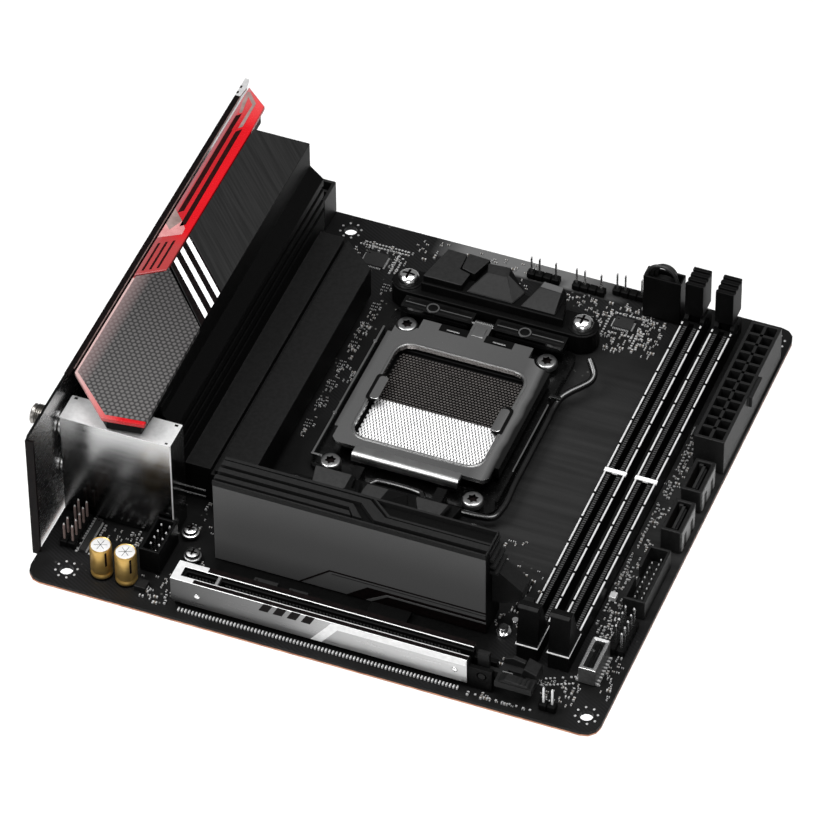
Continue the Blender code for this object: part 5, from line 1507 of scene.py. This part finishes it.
def cooler_mounts():
    """Two brackets and their bright screws, the front ones with lower heads."""
    front, rear = 53.2, 143.2
    cooler_bracket("top", rear, 1, 0.0)
    cooler_bracket("bottom", front, -1, 3.0)
    seat = 7.4
    dome = ((0, 2.5), (1.2, 2.45), (2.3, 2.1), (2.9, 1.6), (3.2, 1.0), (3.3, 0.0))
    shank = [(1.7, seat), (1.7, -4.2), (0, -4.2)]
    spots = ((59.5, front, 0.64), (113.5, front, 0.64), (59.5, rear, 1.0), (113.5, rear, 1.0))
    for number, (x, y, rise) in enumerate(spots, 1):
        node = f"cooler_screw_{number}"
        profile = [(radius, seat + up * rise) for radius, up in dome] + shank
        screw(node, (x, y), profile, plus((x, y), 1.9, 0.38), (seat + 1.5 * rise, 11), "bright")
        bm = bmesh.new()
        turned(bm, (x, y), [(3.35, 7.1), (4.2, 7.1), (4.2, 7.3), (3.35, 7.3), (3.35, 7.1)])
        keep(bm, node + "_washer", ["plastic"], smooth=True)


# Memory slots


def memory_slots():
    """Slots and latches with bright rails, contact combs, key marks and painted highlight bands on the tower
    tops.
    """
    for number in (1, 2):
        soften(f"dimm_slot_{number}", 0.2, ["plastic"])
        soften(f"dimm_latch_{number}", 0.3, ["plastic"], f"dimm_latch_{number}")
    key = 90.5
    rail_start, rail_end, rail_pitch, rail_length = 29.2, 155, 10.4, 9.5
    steel = bmesh.new()
    combs = bmesh.new()
    marks = bmesh.new()
    tower_highlights = bmesh.new()
    for number in (1, 2):
        x, y, z = span(f"dimm_slot_{number}")
        middle = (x[0] + x[1]) / 2
        for edge in (x[0] + 0.26, x[1] - 0.26):
            for step in range(13):
                start = rail_start + step * rail_pitch
                run = (start, min(start + rail_length, rail_end))
                brick(steel, (edge - 0.26, edge + 0.26), run, (6.8, 7.4))
        for step in range(147):
            at = 29.0 + step * 0.85
            if abs(at - key) < 1.4 or at > rail_end - 0.4:
                continue
            for side in (-1, 1):
                inner = middle + side * 1.0
                outer = middle + side * 1.95
                brick(combs, tuple(sorted((inner, outer))), (at - 0.2, at + 0.2), (7.05, 7.27))
        brick(marks, (x[0] - 0.2, x[1] + 0.2), (key - 0.7, key + 0.7), (6.8, 7.46))
        front = y[0] - 0.12
        brick(steel, (x[0] - 0.3, x[0] + 0.1), (front, front + 2.0), (6.0, 6.4))
        brick(steel, (x[1] - 0.1, x[1] + 0.2), (front, 29.0), (6.0, 6.3))
        brick(steel, (x[0] - 0.3, x[1] + 0.2), (front - 0.2, front + 0.2), (6.0, 6.4))
        # A pale band across each tower's top front edge: a painted highlight.
        brick(tower_highlights, (x[0] + 0.2, x[1] - 0.2), (y[0] + 0.2, y[0] + 1.6), (z[1] - 0.2, z[1] + 0.08))
    ease(steel, 0.08, 1)
    keep(steel, "memory_slot_strips", ["pale_steel"])
    keep(combs, "memory_contacts", ["comb"])
    keep(marks, "memory_key_marks", ["white"])
    keep(tower_highlights, "memory_tower_highlights", ["wing"])


# Plugs and headers


def cell_grid(bm, x, y, z, columns, rows):
    """Walls between plug cells, with a black pin in each as painted shade deep in the cell."""
    wall = 0.45
    for step in range(1, columns):
        at = x[0] + (x[1] - x[0]) * step / columns
        brick(bm, (at - wall, at + wall), y, z, 0)
    for step in range(1, rows):
        at = y[0] + (y[1] - y[0]) * step / rows
        brick(bm, x, (at - wall, at + wall), z, 0)
    for column in range(columns):
        for row in range(rows):
            px = x[0] + (x[1] - x[0]) * (column + 0.5) / columns
            py = y[0] + (y[1] - y[0]) * (row + 0.5) / rows
            # The pins are black plastic: painted shade in the cells.
            brick(bm, (px - 0.45, px + 0.45), (py - 0.45, py + 0.45), (z[0] - 0.1, z[1] - 3.0), 1)


def power_plugs():
    """The board's and the processor's power connectors, with open cells."""
    for node, columns, rows in (("atx_power_connector", 2, 12), ("cpu_power_connector", 4, 2)):
        soften(node, 0.3, ["plug"])
        x, y, z = span(node)
        if columns == 2:
            x = (x[0], x[0] + 9.2)
        bm = bmesh.new()
        cell_grid(bm, (x[0] + 1, x[1] - 1), (y[0] + 1, y[1] - 1), (3.0, z[1] - 0.15), columns, rows)
        keep(bm, node + "_cells", ["plug", "plastic"])


def sata_port(node):
    """The shroud, its angled tongue with contacts, and the slotted steel side plate."""
    soften(node, 0.3, ["satin"])
    x, y, z = span(node)
    tongue = x[1] - 3.2
    bm = bmesh.new()
    brick(bm, (tongue, tongue + 0.8), (y[0] + 1.7, y[1] - 1.5), (2.0, z[1] - 0.4), 2)
    brick(bm, (tongue - 1.1, tongue + 0.8), (y[1] - 2.2, y[1] - 1.5), (2.0, z[1] - 0.4), 2)
    for step in range(7):
        at = y[0] + 3.0 + step * 1.17
        brick(bm, (tongue - 0.1, tongue), (at - 0.3, at + 0.3), (2.6, 7.2), 0)
    brick(bm, (x[1] - 0.05, x[1] + 0.2), (y[0] + 1.0, y[1] - 1.4), (0.4, z[1] - 0.9), 1)
    for at in (y[0] + 3.6, y[1] - 4.0):
        brick(bm, (x[1] - 0.05, x[1] + 0.26), (at - 0.9, at + 0.9), (0.4, 5.4), 3)
    ease(bm, 0.05, 1)
    keep(bm, node + "_inside", ["gold", "side_plate", "wing", "dark_line"])


def data_ports():
    """Two drive ports and the two shrouded headers."""
    for number in (1, 2):
        sata_port(f"sata_port_{number}")
    soften("usb_header", 0.2, ["satin"])
    x, y, _ = span("usb_header")
    first = (x[0] + 2.25, y[0] + 2.0)
    pins("usb_header_pins", first, (2, 10), (2.0, 1.98), 4.6, 1.5, 0.45, ((0, 9),), "comb")
    usb_c_header()
    soften("usb2_header", 0.25, ["plastic"])
    x, y, _ = span("usb2_header")
    pins("usb2_header_pins", (x[0] + 1.85, y[0] + 1.7), (2, 5), (2.54, 2.54), 7.6, 1.9, 0.54, ((0, 0),))


def usb_c_header():
    """A steel shell with a bright rim and darker walls, painted light and shade, its tongue, its soldered
    feet and a painted highlight strip at its far end.
    """

    def lit_rim_or_shaded_wall(_, normal):
        return 0 if normal.z > 0.5 else 1

    # Painted light and shade: the shell's top faces take bright steel and its walls a darker metal.
    soften("usb_c_header", 0.25, ["steel", "comb"], pick=lit_rim_or_shaded_wall)
    x, y, z = span("usb_c_header")
    bm = bmesh.new()
    middle = (x[0] + x[1]) / 2
    brick(bm, (middle - 0.4, middle + 0.4), (y[0] + 1.8, y[1] - 1.8), (1.6, 5.6), 0)
    for step in range(10):
        at = y[0] + 2.4 + step * 0.85
        brick(bm, (middle - 0.5, middle + 0.5), (at - 0.2, at + 0.2), (2.2, 5.2), 1)
    for step in range(9):
        at = y[0] + 1.0 + step * 1.3
        brick(bm, (x[0] - 0.9, x[0] + 0.1), (at - 0.3, at + 0.3), (-0.02, 0.6), 2)
        brick(bm, (x[1] - 0.1, x[1] + 0.9), (at - 0.3, at + 0.3), (-0.02, 0.6), 2)
    # A pale strip on the shell's far end top: a painted highlight.
    brick(bm, (x[0] + 0.4, x[1] - 0.4), (y[1] - 0.9, y[1] - 0.1), (z[1] - 0.3, z[1] + 0.05), 3)
    keep(bm, "usb_c_header_tongue", ["plastic", "comb", "solder", "pale_steel"])


def pins(name, first, size, pitch, top, low, side, skip=(), look="steel"):
    """Square pins with chamfered tips in a paler steel than the shanks, a painted highlight."""
    bm = bmesh.new()
    half = side / 2
    for column in range(size[0]):
        for row in range(size[1]):
            if (column, row) in skip:
                continue
            x = first[0] + column * pitch[0]
            y = first[1] + row * pitch[1]
            brick(bm, (x - half, x + half), (y - half, y + half), (low, top - 0.4))
            # The tips' paler steel is a painted highlight.
            disc(bm, (x, y), half, (top - 0.4, top), 1, 8, half * 0.6)
    keep(bm, name, [look, "pale_steel"])


HEADERS = (
    ("front_panel_header", (163.6, 31.14), (2, 5), ((0, 0),), "steel"),
    ("audio_header", (5.9, 15.1), (2, 5), ((0, 2),), "copper_pin"),
    ("system_header", (153.2, 4.6), (2, 1), (), "pale_steel"),
    ("led_header_1", (90.0, 164.0), (4, 1), ((2, 0),), "steel"),
    ("led_header_2", (104.1, 164.0), (4, 1), ((2, 0),), "steel"),
    ("led_header_3", (115.9, 166.2), (4, 1), ((2, 0),), "steel"),
)


def pin_headers():
    """Plastic bases notched between their square pins."""
    pitch = 2.54
    for name, first, size, gaps, look in HEADERS:
        bm = bmesh.new()
        for column in range(size[0]):
            for row in range(size[1]):
                x = first[0] + column * pitch
                y = first[1] + row * pitch
                brick(bm, (x - 1.24, x + 1.24), (y - 1.24, y + 1.24), (0.3, 2.6))
        ease(bm, 0.3, 1)
        keep(bm, name + "_base", ["plastic"], stands_for=(name,))
        pins(name + "_pins", first, size, (pitch, pitch), 8.5, 0.2, 0.54, gaps, look)


# Capacitors and battery


def capacitors():
    """Gold cans with a scored top, a dark mark and a foot."""
    sleeve = [(2.75, 11.2), (2.95, 11.35), (3.1, 11.1), (3.15, 10.8), (3.15, 2.7), (2.85, 2.3)]
    sleeve += [(2.85, 1.9), (3.15, 1.5), (3.15, 0.8), (3.0, 0.5), (0, 0.5)]
    y = 8.7
    for number, x in ((1, 20.0), (2, 27.5)):
        node = f"capacitor_{number}"
        bm = bmesh.new()
        turned(bm, (x, y), sleeve, 40, 0)
        turned(bm, (x, y), [(0, 11.22), (2.2, 11.22), (2.76, 11.14)], 40, 1)
        for side in (20, 80, 140):
            turn = Matrix.Rotation(math.radians(side), 3, "Z").to_quaternion()
            brick(bm, (x - 1.9, x + 1.9), (y - 0.06, y + 0.06), (11.18, 11.25), 2, turn)
        disc(bm, (x, y), 3.3, (0.02, 0.55), 3, 28)
        looks = ["sleeve", "pale_steel", "dark_line", "plastic"]
        keep(bm, node + "_can", looks, stands_for=(node,), smooth=True)
        bm = bmesh.new()
        turn = math.radians(-42)
        at = (x + 3.14 * math.cos(turn), y + 3.14 * math.sin(turn))
        square = Matrix.Rotation(turn + math.pi / 2, 3, "Z").to_quaternion()
        brick(bm, (at[0] - 0.3, at[0] + 0.3), (at[1] - 0.06, at[1] + 0.06), (5.4, 10.6), 0, square)
        keep(bm, node + "_mark", ["dark_line"])


def battery():
    """The holder, the wrapped cell and three loops of its lead."""
    soften("battery_holder", 0.4, ["plastic"])
    soften("coin_cell", 0.3, ["rubber"])
    x, _, (_, top) = span("battery_holder")
    middle = middle_y("battery_holder")
    for number, shift in enumerate((0.0, 1.1, 2.2)):
        path = (
            (x[0] + 0.8 + shift, middle - 1.4 + shift, top - 1.4),
            (x[0] + 1.2 + shift, middle - 1.2 + shift, top + 1.4),
            (x[0] + 4.2 + shift * 0.6, middle - 1.0 + shift * 0.9, top + 3.9 - shift * 0.5),
            (x[1] - 3.2, middle - 0.8 + shift * 0.8, top + 2.6 - shift * 0.5),
            (x[1] - 1.0 - shift * 0.8, middle - 1.2 + shift, top - 1.4),
        )
        stands_for = ("battery_lead",) if number == 0 else ()
        tube(f"battery_lead_{number + 1}", path, 0.55, "rubber", "board", stands_for)


board()
rear_plate()
for port in ("audio_jacks", "video_ports", "usb_stack_1", "usb_stack_2", "lan_usb_stack"):
    soften(port, 0.15, ["tin"], segments=1)
port_insides()
antenna_jacks()
wifi_can()
vrm()
nose()
red_strip()
m2_bay()
card_slot()
processor_socket()
cooler_mounts()
memory_slots()
power_plugs()
data_ports()
pin_headers()
capacitors()
battery()
studio()
